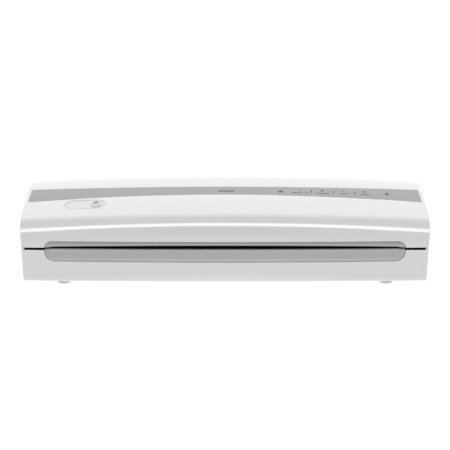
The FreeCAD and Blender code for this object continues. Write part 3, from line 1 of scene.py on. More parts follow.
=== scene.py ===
import bpy, bmesh, json, math
import numpy as np
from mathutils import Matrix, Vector


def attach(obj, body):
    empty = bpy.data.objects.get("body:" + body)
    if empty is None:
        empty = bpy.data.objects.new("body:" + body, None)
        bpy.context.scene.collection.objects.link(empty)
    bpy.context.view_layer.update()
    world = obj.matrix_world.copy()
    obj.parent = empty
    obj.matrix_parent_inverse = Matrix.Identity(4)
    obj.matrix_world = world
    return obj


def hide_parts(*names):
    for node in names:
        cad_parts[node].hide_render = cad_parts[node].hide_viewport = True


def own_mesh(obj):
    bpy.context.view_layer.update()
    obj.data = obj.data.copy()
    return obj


# ------------------------------------------------------------------------------------------
# Pouch laminator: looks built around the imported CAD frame.  Metres, +Z up, entry slot faces -Y.
# ------------------------------------------------------------------------------------------
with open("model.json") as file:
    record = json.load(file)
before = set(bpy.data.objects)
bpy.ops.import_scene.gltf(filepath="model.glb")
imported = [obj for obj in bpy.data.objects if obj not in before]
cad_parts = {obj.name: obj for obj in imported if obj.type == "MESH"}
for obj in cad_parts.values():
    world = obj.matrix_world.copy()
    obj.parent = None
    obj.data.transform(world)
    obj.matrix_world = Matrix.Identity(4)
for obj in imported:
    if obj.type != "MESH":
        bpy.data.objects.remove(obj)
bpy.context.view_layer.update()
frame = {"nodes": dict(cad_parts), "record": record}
NODES = frame["nodes"]
MM = 0.001

# case shape, the same numbers as the CAD source (mm)
XH, Y_FRONT, BOW, Y_REAR, CROWN = 210.0, -50.5, 2.5, 53.0, 6.0
SHOULDER_R, SHOULDER_Y, SHOULDER_Z = 14.5, -36.0, 60.5
TOP_R, TOP_Y, TOP_Z = 337.0, 20.0, 79.9
BACK_R = 200.0
CORNER_R, CORNER_Y, CORNER_Z = 6.0, 47.0, 72.0
CASE_BOTTOM, BOTTOM_R = 6.0, 6.0
PILL_X, PILL_Y, PILL_L, PILL_W = -145.6, -17.15, 39.8, 17.1
KNOB_X = PILL_X + PILL_L / 2 - 8.55


def top_z(x, y):
    k = 1.0 - (x / XH) ** 2
    if y <= TOP_Y:
        return TOP_Z - TOP_R + math.sqrt(TOP_R ** 2 - (y - TOP_Y) ** 2) + CROWN * k
    return TOP_Z - BACK_R + math.sqrt(BACK_R ** 2 - (y - TOP_Y) ** 2) + CROWN * k


# ------------------------------------------------------------------------------------------
# Materials
# ------------------------------------------------------------------------------------------
MATS = {}


def node(nt, kind, **inputs):
    n = nt.nodes.new(kind)
    for k, v in inputs.items():
        n.inputs[k.replace("_", " ")].default_value = v
    return n


def start(name):
    m = bpy.data.materials.new(name)
    m.use_nodes = True
    nt = m.node_tree
    nt.nodes.clear()
    out = nt.nodes.new("ShaderNodeOutputMaterial")
    p = nt.nodes.new("ShaderNodeBsdfPrincipled")
    nt.links.new(p.outputs[0], out.inputs[0])
    MATS[name] = m
    return m, nt, p


def rgba(c):
    return (c[0], c[1], c[2], 1.0)


def mix_colour(nt, fac, a, b):
    n = nt.nodes.new("ShaderNodeMix")
    n.data_type = "RGBA"
    for sock, val in ((n.inputs[0], fac), (n.inputs[6], a), (n.inputs[7], b)):
        if isinstance(val, bpy.types.NodeSocket):
            nt.links.new(val, sock)
        elif isinstance(val, (tuple, list)):
            sock.default_value = rgba(val)
        else:
            sock.default_value = val
    return n.outputs[2]


def maths(nt, op, a, b=None, c=None, clamp=False):
    n = nt.nodes.new("ShaderNodeMath")
    n.operation = op
    n.use_clamp = clamp
    for i, val in enumerate((a, b, c)):
        if val is None:
            continue
        if isinstance(val, bpy.types.NodeSocket):
            nt.links.new(val, n.inputs[i])
        else:
            n.inputs[i].default_value = val
    return n.outputs[0]


def coords(nt, stretch=(1, 1, 1)):
    tc = nt.nodes.new("ShaderNodeTexCoord")
    mp = nt.nodes.new("ShaderNodeMapping")
    mp.inputs["Scale"].default_value = stretch
    nt.links.new(tc.outputs["Object"], mp.inputs["Vector"])
    return mp.outputs["Vector"]


def noise(nt, vec, scale, detail=3.0, rough=0.5):
    n = nt.nodes.new("ShaderNodeTexNoise")
    n.inputs["Scale"].default_value = scale
    n.inputs["Detail"].default_value = detail
    n.inputs["Roughness"].default_value = rough
    nt.links.new(vec, n.inputs["Vector"])
    return n.outputs["Fac"]


def map_range(nt, val, a, b, c, d):
    n = nt.nodes.new("ShaderNodeMapRange")
    nt.links.new(val, n.inputs[0])
    for i, v in enumerate((a, b, c, d)):
        n.inputs[i + 1].default_value = v
    return n.outputs[0]


def surface(name, colour, rough, metallic=0.0, var=0.03, scale=45.0, rvar=0.04, rscale=260.0, bump=0.0,
            bscale=900.0, stretch=(1, 1, 1), ior=1.5, coat=0.0, coat_rough=0.05, sub=0.0, extra=None):
    """Base colour and roughness driven by object-space noise, with an optional fine bump."""
    m, nt, p = start(name)
    vec = coords(nt, stretch)
    n1 = noise(nt, vec, scale)
    dark = tuple(max(0.0, c * (1 - var)) for c in colour)
    lite = tuple(min(1.0, c * (1 + var)) for c in colour)
    f = map_range(nt, n1, 0.3, 0.7, 0.0, 1.0)
    col = mix_colour(nt, f, dark, lite)
    if extra is not None:
        col = extra(nt, vec, col)
    nt.links.new(col, p.inputs["Base Color"])
    n2 = noise(nt, vec, rscale, 2.0)
    nt.links.new(map_range(nt, n2, 0.25, 0.75, max(0.0, rough - rvar), min(1.0, rough + rvar)), p.inputs["Roughness"])
    p.inputs["Metallic"].default_value = metallic
    p.inputs["IOR"].default_value = ior
    if coat:
        p.inputs["Coat Weight"].default_value = coat
        p.inputs["Coat Roughness"].default_value = coat_rough
    if bump:
        b = nt.nodes.new("ShaderNodeBump")
        b.inputs["Strength"].default_value = bump
        b.inputs["Distance"].default_value = 0.0002
        nt.links.new(noise(nt, vec, bscale, 2.0), b.inputs["Height"])
        nt.links.new(b.outputs[0], p.inputs["Normal"])
    return m


def radial_zone(cx, cy, r0, r1, colour):
    """Paints a disc about a vertical axis through (cx, cy), in mm."""
    def f(nt, vec, col):
        s = nt.nodes.new("ShaderNodeSeparateXYZ")
        nt.links.new(vec, s.inputs[0])
        dx = maths(nt, "SUBTRACT", s.outputs[0], cx * MM)
        dy = maths(nt, "SUBTRACT", s.outputs[1], cy * MM)
        d = maths(nt, "SQRT", maths(nt, "ADD", maths(nt, "MULTIPLY", dx, dx), maths(nt, "MULTIPLY", dy, dy)))
        w = map_range(nt, d, r0 * MM, r1 * MM, 1.0, 0.0)
        return mix_colour(nt, w, col, colour)
    return f


def seam_painted_shade(nt, vec, col):
    """Painted shade: the tongue and rims inside the parting line lie in deep shade, so they are painted near black."""
    s = nt.nodes.new("ShaderNodeSeparateXYZ")
    nt.links.new(vec, s.inputs[0])
    off = maths(nt, "ABSOLUTE", maths(nt, "SUBTRACT", s.outputs[2], 0.044950))
    w = map_range(nt, off, 0.00104, 0.00112, 1.0, 0.0)
    # the painted shade stops short of the two front corners, where the ledge catches the light
    corner = maths(nt, "MULTIPLY", map_range(nt, maths(nt, "ABSOLUTE", s.outputs[0]), 0.2066, 0.2072, 0.0, 1.0),
                   map_range(nt, s.outputs[1], -0.0470, -0.0480, 0.0, 1.0))
    w = maths(nt, "MULTIPLY", w, maths(nt, "SUBTRACT", 1.0, corner))
    # the painted shade also takes the shine off in there
    shader = next(n for n in nt.nodes if n.type == "BSDF_PRINCIPLED")
    nt.links.new(maths(nt, "MULTIPLY", maths(nt, "SUBTRACT", 1.0, w), 0.5), shader.inputs["Specular IOR Level"])
    return mix_colour(nt, w, col, (0.006, 0.006, 0.006))


def throat_painted_shade(nt, vec, col):
    """Painted shade: behind the lips the bezel faces inside the throat are painted near black, for the deep shade of
    the slot.
    """
    s = nt.nodes.new("ShaderNodeSeparateXYZ")
    nt.links.new(vec, s.inputs[0])
    bow = maths(nt, "MULTIPLY", maths(nt, "MULTIPLY", s.outputs[0], s.outputs[0]), -0.0025 / 0.0441)
    y = maths(nt, "ADD", maths(nt, "SUBTRACT", s.outputs[1], -0.0530), bow)
    off = maths(nt, "ABSOLUTE", maths(nt, "SUBTRACT", s.outputs[2], 0.0457))
    deep = map_range(nt, y, 0.0034, 0.0046, 0.0, 1.0)
    near = map_range(nt, off, 0.0030, 0.0034, 1.0, 0.0)
    # painted shade: the upper piece darkens towards the brow of the cover, in the shadow of its overhang
    brow_shade = map_range(nt, s.outputs[2], 0.0496, 0.0514, 0.0, 0.27)
    col = mix_colour(nt, brow_shade, col, (0.0, 0.0, 0.0))
    return mix_colour(nt, maths(nt, "MULTIPLY", deep, near), col, (0.012, 0.009, 0.008))


SHELL_IOR = 2.0
surface("shell_white", (0.80, 0.80, 0.80), 0.09, var=0.006, scale=9.0, rvar=0.012, rscale=60.0, ior=SHELL_IOR, extra=seam_painted_shade)
surface("strip_grey", (0.388, 0.388, 0.388), 0.38, var=0.012, scale=60.0, rvar=0.03, bump=0.03, bscale=2600.0)
surface("bezel_grey", (0.49, 0.49, 0.485), 0.33, var=0.012, scale=60.0, rvar=0.03, bump=0.03, bscale=2600.0, extra=throat_painted_shade)
surface("knob_white", (0.82, 0.82, 0.82), 0.22, var=0.01, scale=80.0, rvar=0.03,
        extra=radial_zone(KNOB_X, PILL_Y, 3.45, 3.85, (0.46, 0.46, 0.47)))
surface("rim_white", (0.86, 0.86, 0.86), 0.35, var=0.01, scale=80.0)
surface("track_white", (0.78, 0.78, 0.78), 0.4, var=0.01, scale=80.0)
surface("foot_rubber", (0.66, 0.66, 0.67), 0.6, var=0.02, scale=120.0, bump=0.12, bscale=1800.0)


def key_zone(nt, vec, col):
    """Keys: dark blue pad in the middle, a greyer rim round it."""
    s = nt.nodes.new("ShaderNodeSeparateXYZ")
    nt.links.new(vec, s.inputs[0])
    w = None
    for cx, cy, r in ((0.0588, 0.0061, 0.0020), (0.1713, 0.0065, 0.0018)):
        dx = maths(nt, "SUBTRACT", s.outputs[0], cx)
        dy = maths(nt, "SUBTRACT", s.outputs[1], cy)
        d = maths(nt, "SQRT", maths(nt, "ADD", maths(nt, "MULTIPLY", dx, dx), maths(nt, "MULTIPLY", dy, dy)))
        k = map_range(nt, d, r, r + 0.0003, 1.0, 0.0)
        w = k if w is None else maths(nt, "ADD", w, k, clamp=True)
    return mix_colour(nt, w, col, (0.018, 0.034, 0.15))


surface("key_blue", (0.355, 0.357, 0.36), 0.36, var=0.03, scale=300.0, extra=key_zone)
surface("nylon_black", (0.028, 0.028, 0.031), 0.42, var=0.15, scale=120.0, bump=0.05, bscale=1500.0)
surface("guide_black", (0.012, 0.010, 0.010), 0.7, var=0.2, scale=90.0, bump=0.08, bscale=1600.0, ior=1.3)
surface("inlet_black", (0.022, 0.022, 0.024), 0.38, var=0.15, scale=150.0, bump=0.08, bscale=2200.0)
surface("rocker_black", (0.02, 0.02, 0.022), 0.2, var=0.1, scale=150.0)
surface("component_black", (0.03, 0.03, 0.033), 0.45, var=0.2, scale=260.0, bump=0.05, bscale=2600.0)
surface("bush_pps", (0.09, 0.075, 0.06), 0.42, var=0.15, scale=200.0, bump=0.06, bscale=1800.0)
surface("gear_nylon", (0.74, 0.70, 0.58), 0.36, var=0.03, scale=150.0, bump=0.03, bscale=1300.0, ior=1.53)
surface("silicone_red", (0.21, 0.045, 0.028), 0.48, var=0.1, scale=60.0, bump=0.06, bscale=1500.0, stretch=(0.2, 1, 1))
surface("steel_bright", (0.66, 0.66, 0.68), 0.2, 1.0, var=0.04, scale=30.0, rvar=0.06, rscale=240.0, stretch=(14, 0.6, 0.6), bump=0.02, bscale=900.0)
surface("zinc_steel", (0.55, 0.56, 0.58), 0.34, 1.0, var=0.12, scale=240.0, rvar=0.08, rscale=420.0, bump=0.02, bscale=700.0)
surface("spring_steel", (0.36, 0.36, 0.38), 0.3, 1.0, var=0.08, scale=500.0, rvar=0.06)
surface("screw_zinc", (0.62, 0.62, 0.65), 0.3, 1.0, var=0.08, scale=600.0, rvar=0.08)
surface("motor_can", (0.5, 0.51, 0.53), 0.32, 1.0, var=0.06, scale=90.0, rvar=0.07, stretch=(0.4, 3, 3), bump=0.02, bscale=600.0)
surface("brass_gear", (0.66, 0.46, 0.17), 0.28, 1.0, var=0.08, scale=400.0, rvar=0.06)
surface("contact_brass", (0.72, 0.62, 0.38), 0.26, 1.0, var=0.08, scale=500.0, rvar=0.06)
surface("heater_alu", (0.70, 0.71, 0.73), 0.3, 1.0, var=0.05, scale=60.0, rvar=0.07, stretch=(0.25, 6, 6), bump=0.03, bscale=900.0)
surface("fuse_body", (0.72, 0.72, 0.74), 0.18, 1.0, var=0.05, scale=600.0, rvar=0.05)
surface("wire_white", (0.72, 0.72, 0.70), 0.45, var=0.05, scale=300.0)


def foil_lines(nt, vec, col):
    w = nt.nodes.new("ShaderNodeTexWave")
    w.bands_direction = "Y"
    w.inputs["Scale"].default_value = 130.0
    w.inputs["Distortion"].default_value = 0.0
    nt.links.new(vec, w.inputs["Vector"])
    f = map_range(nt, w.outputs["Fac"], 0.72, 0.8, 0.0, 0.8)
    return mix_colour(nt, f, col, (0.20, 0.11, 0.05))


surface("foil_amber", (0.46, 0.20, 0.04), 0.3, var=0.08, scale=160.0, extra=foil_lines)


def metal_cap(nt, vec, col):
    s = nt.nodes.new("ShaderNodeSeparateXYZ")
    nt.links.new(vec, s.inputs[0])
    n = noise(nt, vec, 900.0)
    return mix_colour(nt, map_range(nt, n, 0.45, 0.75, 0.0, 0.35), col, (0.5, 0.47, 0.42))


surface("thermostat_body", (0.70, 0.67, 0.60), 0.4, var=0.06, scale=260.0, extra=metal_cap)


def board_traces(nt, vec, col):
    b = nt.nodes.new("ShaderNodeTexBrick")
    b.inputs["Scale"].default_value = 210.0
    b.inputs["Mortar Size"].default_value = 0.035
    b.inputs["Color1"].default_value = (1, 1, 1, 1)
    b.inputs["Color2"].default_value = (0.86, 0.86, 0.86, 1)
    b.inputs["Mortar"].default_value = (0, 0, 0, 1)
    nt.links.new(vec, b.inputs["Vector"])
    inv = maths(nt, "SUBTRACT", 1.0, b.outputs["Color"], clamp=True)
    return mix_colour(nt, maths(nt, "MULTIPLY", inv, 0.75), col, (0.08, 0.33, 0.13))


surface("pcb_green", (0.018, 0.105, 0.04), 0.3, var=0.12, scale=220.0, extra=board_traces)


def lens_tints(nt, vec, col):
    """Second and fourth light pipes are lit blue, the other two are unlit."""
    s = nt.nodes.new("ShaderNodeSeparateXYZ")
    nt.links.new(vec, s.inputs[0])
    a = maths(nt, "LESS_THAN", maths(nt, "ABSOLUTE", maths(nt, "SUBTRACT", s.outputs[0], 0.1030)), 0.006)
    b = maths(nt, "LESS_THAN", maths(nt, "ABSOLUTE", maths(nt, "SUBTRACT", s.outputs[0], 0.1475)), 0.006)
    return mix_colour(nt, maths(nt, "ADD", a, b, clamp=True), col, (0.03, 0.055, 0.17))


surface("lens_clear", (0.28, 0.295, 0.34), 0.18, var=0.03, scale=400.0, extra=lens_tints)
surface("mark_dark", (0.03, 0.03, 0.033), 0.6, var=0.05, scale=500.0)
# grey for print, and for the painted shadow line along the strip's rear edge
surface("print_and_shadow_grey", (0.16, 0.16, 0.165), 0.5, var=0.05, scale=500.0)
# grey of the painted shadow line along the front edge of the control strip
surface("edge_shadow_grey", (0.26, 0.26, 0.265), 0.45, var=0.03, scale=500.0)
# grey of the painted shadow line round the slide window
surface("shadow_line_grey", (0.50, 0.50, 0.51), 0.4, var=0.03, scale=500.0)


# ------------------------------------------------------------------------------------------
# Smooth-shaded copies of the two case shells: same vertices, normals from the true surface
# ------------------------------------------------------------------------------------------
def circle3(ay, az, by, bz, cy, cz):
    d = 2 * (ay * (bz - cz) + by * (cz - az) + cy * (az - bz))
    uy = ((ay ** 2 + az ** 2) * (bz - cz) + (by ** 2 + bz ** 2) * (cz - az) + (cy ** 2 + cz ** 2) * (az - bz)) / d
    uz = ((ay ** 2 + az ** 2) * (cy - by) + (by ** 2 + bz ** 2) * (ay - cy) + (cy ** 2 + cz ** 2) * (by - ay)) / d
    return uy, uz, np.hypot(ay - uy, az - uz)


_d = np.array([SHOULDER_Y - TOP_Y, SHOULDER_Z - (TOP_Z - TOP_R)]); _d = _d / np.linalg.norm(_d)
A_Y, A_Z = TOP_Y + _d[0] * TOP_R, TOP_Z - TOP_R + _d[1] * TOP_R
_d = np.array([CORNER_Y - TOP_Y, CORNER_Z - (TOP_Z - BACK_R)]); _d = _d / np.linalg.norm(_d)
B_Y, B_Z = TOP_Y + _d[0] * BACK_R, TOP_Z - BACK_R + _d[1] * BACK_R
M_Y = (A_Y + TOP_Y) / 2
M_Z = TOP_Z - TOP_R + math.sqrt(TOP_R ** 2 - (M_Y - TOP_Y) ** 2)


def cover_parts(x, y, z):
    """Signed distance to each stretch of the cover profile at x, and whether the point is on that stretch."""
    k = 1 - (x / XH) ** 2
    dz, dy = CROWN * k, -BOW * k
    out = []
    out.append((Y_FRONT + dy - y, (z <= SHOULDER_Z + dz) & (y < 0)))
    out.append((np.hypot(y - SHOULDER_Y - dy, z - SHOULDER_Z - dz) - SHOULDER_R, (z > SHOULDER_Z + dz) & (y <= A_Y + dy)))
    cy, cz, r = circle3(A_Y + dy, A_Z + dz, M_Y + 0.45 * dy, M_Z + dz, TOP_Y + 0 * x, TOP_Z + dz)
    out.append((np.hypot(y - cy, z - cz) - r, (y > A_Y + dy) & (y <= TOP_Y) & (z > 60)))
    out.append((np.hypot(y - TOP_Y, z - (TOP_Z - BACK_R) - dz) - BACK_R, (y > TOP_Y) & (y <= B_Y) & (z > 60)))
    out.append((np.hypot(y - CORNER_Y, z - CORNER_Z - dz) - CORNER_R, (y > B_Y) & (z > CORNER_Z + dz)))
    out.append((y - Y_REAR, (z <= CORNER_Z + dz) & (y > 0)))
    return out


def base_parts(x, y, z):
    k = 1 - (x / XH) ** 2
    yf = Y_FRONT - BOW * k
    zb = CASE_BOTTOM + BOTTOM_R
    out = []
    out.append((yf - y, (z >= zb) & (y < 0)))
    out.append((np.hypot(y - yf - BOTTOM_R, z - zb) - BOTTOM_R, (z < zb) & (y < yf + BOTTOM_R)))
    out.append((CASE_BOTTOM - z, (y >= yf + BOTTOM_R) & (y <= Y_REAR - BOTTOM_R)))
    out.append((np.hypot(y - Y_REAR + BOTTOM_R, z - zb) - BOTTOM_R, (z < zb) & (y > Y_REAR - BOTTOM_R)))
    out.append((y - Y_REAR, (z >= zb) & (y > 0)))
    return out


def true_normals(parts, co, nf):
    x, y, z = co[:, 0], co[:, 1], co[:, 2]
    h = 0.2
    mid = parts(x, y, z)
    pieces = {}
    for i, (sx, sy, sz) in enumerate(((h, 0, 0), (0, h, 0), (0, 0, h))):
        p = parts(x + sx, y + sy, z + sz)
        q = parts(x - sx, y - sy, z - sz)
        pieces[i] = [(a[0] - b[0]) / (2 * h) for a, b in zip(p, q)]
    best = np.full(len(x), 1e9)
    n = np.zeros((len(x), 3))
    for j, (d, ok) in enumerate(mid):
        g = np.stack([pieces[0][j], pieces[1][j], pieces[2][j]], 1)
        g /= np.maximum(np.linalg.norm(g, axis=1), 1e-9)[:, None]
        use = ok & (np.abs(d) < 0.09) & (np.abs(d) < best) & ((g * nf).sum(1) > 0.78)
        n[use] = g[use]
        best[use] = np.abs(d)[use]
    return n, best < 1e8


def shaded_copy(name, node_name, parts, material, body, crease=50.0):
    src = NODES[node_name]
    me = src.data.copy()
    me.name = name
    bm = bmesh.new()
    bm.from_mesh(me)
    bmesh.ops.remove_doubles(bm, verts=bm.verts, dist=1e-6)
    bmesh.ops.triangulate(bm, faces=bm.faces)
    bm.to_mesh(me)
    bm.free()
    me.materials.clear()
    me.materials.append(material)
    nl = len(me.loops)
    co = np.empty(len(me.vertices) * 3); me.vertices.foreach_get("co", co); co = co.reshape(-1, 3) / MM
    lv = np.empty(nl, int); me.loops.foreach_get("vertex_index", lv)
    npoly = len(me.polygons)
    nf = np.empty(npoly * 3); me.polygons.foreach_get("normal", nf); nf = nf.reshape(-1, 3)
    area = np.empty(npoly); me.polygons.foreach_get("area", area)
    lf = np.repeat(np.arange(npoly), 3)
    # corner normals: area weighted over the neighbours within the crease angle
    order = np.argsort(lv, kind="stable")
    sv = lv[order]
    starts = np.flatnonzero(np.r_[True, sv[1:] != sv[:-1]])
    counts = np.diff(np.r_[starts, nl])
    acc = np.zeros((nl, 3))
    cosc = math.cos(math.radians(crease))
    for c in np.unique(counts):
        g = starts[counts == c]
        idx = order[g[:, None] + np.arange(c)[None, :]]
        f = lf[idx]
        n_ = nf[f]
        w = area[f]
        for a in range(c):
            dots = (n_[:, a:a + 1, :] * n_).sum(2)
            ww = np.where(dots > cosc, w, 0.0)
            acc[idx[:, a]] = (ww[:, :, None] * n_).sum(1)
    acc /= np.maximum(np.linalg.norm(acc, axis=1), 1e-30)[:, None]
    tn, ok = true_normals(parts, co[lv], nf[lf])
    acc[ok] = tn[ok]
    me.shade_smooth()
    me.normals_split_custom_set(acc.astype(np.float32))
    ob = bpy.data.objects.new(name, me)
    bpy.context.scene.collection.objects.link(ob)
    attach(ob, body)
    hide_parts(node_name)
    return ob


cover = shaded_copy("cover_shell", "top_cover", cover_parts, MATS["shell_white"], "chassis")
base = shaded_copy("base_shell", "base_case", base_parts, MATS["shell_white"], "chassis")

# ------------------------------------------------------------------------------------------
# CAD nodes that stay as they are: one procedural material each
# ------------------------------------------------------------------------------------------
SLOTS = {s["node"]: s.get("material_slot") for s in frame["record"]["subparts"]}
for name, ob in NODES.items():
    if name in ("top_cover", "base_case"):
        continue
    want = MATS[SLOTS[name]]
    if len(ob.material_slots) == 0:
        ob.data.materials.append(want)
    for s in ob.material_slots:
        s.link = "OBJECT"
        s.material = want


# the pressure springs shorten as the upper roller lifts; a copy of them with its own mesh stands in for the CAD node,
# fixed to the chassis
src = NODES["pressure_springs"]
springs = bpy.data.objects.new("roller_springs", src.data.copy())
springs.matrix_world = src.matrix_world.copy()
springs.data.materials.clear()
springs.data.materials.append(MATS["spring_steel"])
bpy.context.scene.collection.objects.link(springs)
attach(springs, "chassis")
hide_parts("pressure_springs")
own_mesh(springs)

# ------------------------------------------------------------------------------------------
# Printed marks on the control strip: dashes and dividers, thin plates on the true surface
# ------------------------------------------------------------------------------------------
def skin_z(x, y):
    """Height of the finished cover surface, with the bow of the front taken into account."""
    if y > TOP_Y:
        return top_z(x, y)
    k = 1.0 - (x / XH) ** 2
    dz, dy = CROWN * k, -BOW * k
    cy, cz, r = circle3(A_Y + dy, A_Z + dz, M_Y + 0.45 * dy, M_Z + dz, TOP_Y, TOP_Z + dz)
    return cz + math.sqrt(r ** 2 - (y - cy) ** 2)


def plates(name, outlines, material, body, lift=0.03, sink=0.12):
    bm = bmesh.new()
    for pts in outlines:
        top = [bm.verts.new((x * MM, y * MM, (skin_z(x, y) + lift) * MM)) for x, y in pts]
        bot = [bm.verts.new((x * MM, y * MM, (skin_z(x, y) - sink) * MM)) for x, y in pts]
        bm.faces.new(top)
        bm.faces.new(list(reversed(bot)))
        n = len(pts)
        for i in range(n):
            bm.faces.new((top[i], bot[i], bot[(i + 1) % n], top[(i + 1) % n]))
    bmesh.ops.recalc_face_normals(bm, faces=bm.faces)
    me = bpy.data.meshes.new(name)
    bm.to_mesh(me)
    bm.free()
    me.materials.append(material)
    ob = bpy.data.objects.new(name, me)
    bpy.context.scene.collection.objects.link(ob)
    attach(ob, body)
    return ob


def rounded_bar(x0, x1, y0, y1, slant=0.0, n=4):
    """Plan outline of a bar with rounded ends; slant shifts the far edge along X."""
    r = min(x1 - x0, y1 - y0) / 2 * 0.9
    pts = []
    for cx, cy, a0 in ((x1 - r, y0 + r, -90), (x1 - r, y1 - r, 0), (x0 + r, y1 - r, 90), (x0 + r, y0 + r, 180)):
        for i in range(n + 1):
            a = math.radians(a0 + 90 * i / n)
            px, py = cx + r * math.cos(a), cy + r * math.sin(a)
            pts.append((px + slant * (py - y0), py))
    return pts


caption = []
for x0, x1, yc in ((71.2, 82.0, 2.6), (84.0, 89.6, 2.4), (96.7, 109.6, 2.7), (122.0, 129.8, 2.9), (144.0, 153.2, 2.8)):
    x, i = x0, 0
    widths = (2.3, 1.5, 2.9, 1.8, 2.1)
    while x < x1 - 0.8:
        w = min(widths[i % 5], x1 - x)
        caption.append(rounded_bar(x, x + w, yc + 0.1, yc + 1.5))
        x += w + 0.55
        i += 1
marks = plates("strip_captions", caption, MATS["mark_dark"], "chassis")
dividers = plates("strip_dividers", [rounded_bar(90.9, 91.8, 4.3, 10.1, 0.07), rounded_bar(114.5, 115.4, 4.1, 9.5, -0.2),
                                     rounded_bar(136.3, 137.2, 3.4, 8.8, 0.1)], MATS["mark_dark"], "chassis")
badge = plates("strip_badge", [rounded_bar(-7.4, 9.4, 4.2, 7.3)], MATS["print_and_shadow_grey"], "chassis")


def band(name, path, width, material, body, lift=0.03, sink=0.10, closed=False):
    """A thin raised line of the given width that follows plan points on the cover surface."""
    n = len(path)
    rows = []
    for i, (x, y) in enumerate(path):
        a = path[(i - 1) % n] if (closed or i > 0) else path[i]
        b = path[(i + 1) % n] if (closed or i < n - 1) else path[i]
        tx, ty = b[0] - a[0], b[1] - a[1]
        tl = math.hypot(tx, ty)
        nx, ny = -ty / tl * width / 2, tx / tl * width / 2
        rows.append([((x + sx * nx), (y + sx * ny), d) for sx, d in ((-1, -sink), (-1, lift), (1, lift), (1, -sink))])
    verts = [(x * MM, y * MM, (skin_z(x, y) + d) * MM) for r in rows for x, y, d in r]
    faces = []
    m = n if closed else n - 1
    for i in range(m):
        j = (i + 1) % n
        for k in range(4):
            faces.append((4 * i + k, 4 * i + (k + 1) % 4, 4 * j + (k + 1) % 4, 4 * j + k))
    if not closed:
        faces += [(0, 1, 2, 3), (4 * n - 1, 4 * n - 2, 4 * n - 3, 4 * n - 4)]
    me = bpy.data.meshes.new(name)
    me.from_pydata(verts, [], faces)
    bm = bmesh.new()
    bm.from_mesh(me)
    bmesh.ops.recalc_face_normals(bm, faces=bm.faces)
    bm.to_mesh(me)
    bm.free()
    me.materials.append(material)
    ob = bpy.data.objects.new(name, me)
    bpy.context.scene.collection.objects.link(ob)
    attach(ob, body)
    return ob


# painted shadow line round the front and ends of the slide window, just outside its bevel, for the shade of the window
# edge
ring = []
hw, hl = PILL_W / 2 + 0.95, PILL_L / 2 + 0.95
for i in range(23):
    a = math.radians(165 + 105 * i / 22)
    ring.append((PILL_X - (hl - hw) + hw * math.cos(a), PILL_Y + hw * math.sin(a)))
for i in range(23):
    a = math.radians(-90 + 110 * i / 22)
    ring.append((PILL_X + (hl - hw) + hw * math.cos(a), PILL_Y + hw * math.sin(a)))
band("slide_shadow_line", ring, 0.55, MATS["shadow_line_grey"], "chassis")

# white rim under the window edge, down to just above the sliding plate
rim = []
hw, hl = PILL_W / 2 + 0.30, PILL_L / 2 + 0.30
for side in (1, -1):
    for i in range(25):
        a = math.radians(-90 + 180 * i / 24)
        rim.append((PILL_X + side * (hl - hw) + side * hw * math.cos(a), PILL_Y + side * hw * math.sin(a)))
band("slide_rim", rim, 0.5, MATS["rim_white"], "chassis", lift=-0.44, sink=0.80, closed=True)

# shadow line along the rear edge of the control strip, where it meets the cover
edge = [(x, 16.3 + (21.4 - 16.3) * (x / 206.0) ** 2 + 0.02) for x in range(-70, 71, 5)]
band("strip_edge_line", edge, 0.3, MATS["print_and_shadow_grey"], "chassis", lift=0.02, sink=0.06)
# painted shadow line along the front edge of the control strip, on the right half only
front = [(x, -2.3 - 6.2 * (x / 206.0) ** 2 - 0.30) for x in range(55, 161, 5)]
band("strip_front_shadow_line", front, 0.6, MATS["edge_shadow_grey"], "chassis", lift=0.02, sink=0.06)

# ------------------------------------------------------------------------------------------
# Stage: white floor, soft studio light
# ------------------------------------------------------------------------------------------
FLOOR_GLOW, FLOOR_SEEN, FLOOR_CLOSE = 0.80, 1.16, 0.45
WORLD_ALL, WORLD_LOW, WORLD_TOP = 1.0, 0.25, 0.5
scene = bpy.context.scene
floor_me = bpy.data.meshes.new("floor")
floor_me.from_pydata([(-30, -30, -0.0002), (30, -30, -0.0002), (30, 30, -0.0002), (-30, 30, -0.0002)], [], [(0, 1, 2, 3)])
floor = bpy.data.objects.new("floor", floor_me)
scene.collection.objects.link(floor)
fm = bpy.data.materials.new("floor_white")
fm.use_nodes = True
nt = fm.node_tree
nt.nodes.clear()
out = nt.nodes.new("ShaderNodeOutputMaterial")
mixs = nt.nodes.new("ShaderNodeMixShader")
dif = nt.nodes.new("ShaderNodeBsdfDiffuse")
dif.inputs["Color"].default_value = (0.9, 0.9, 0.9, 1)
emi = nt.nodes.new("ShaderNodeEmission")
flp = nt.nodes.new("ShaderNodeLightPath")
VALUES = {}


def value(nt, name, v):
    n = nt.nodes.new("ShaderNodeValue")
    n.outputs[0].default_value = v
    VALUES[name] = n
    return n.outputs[0]


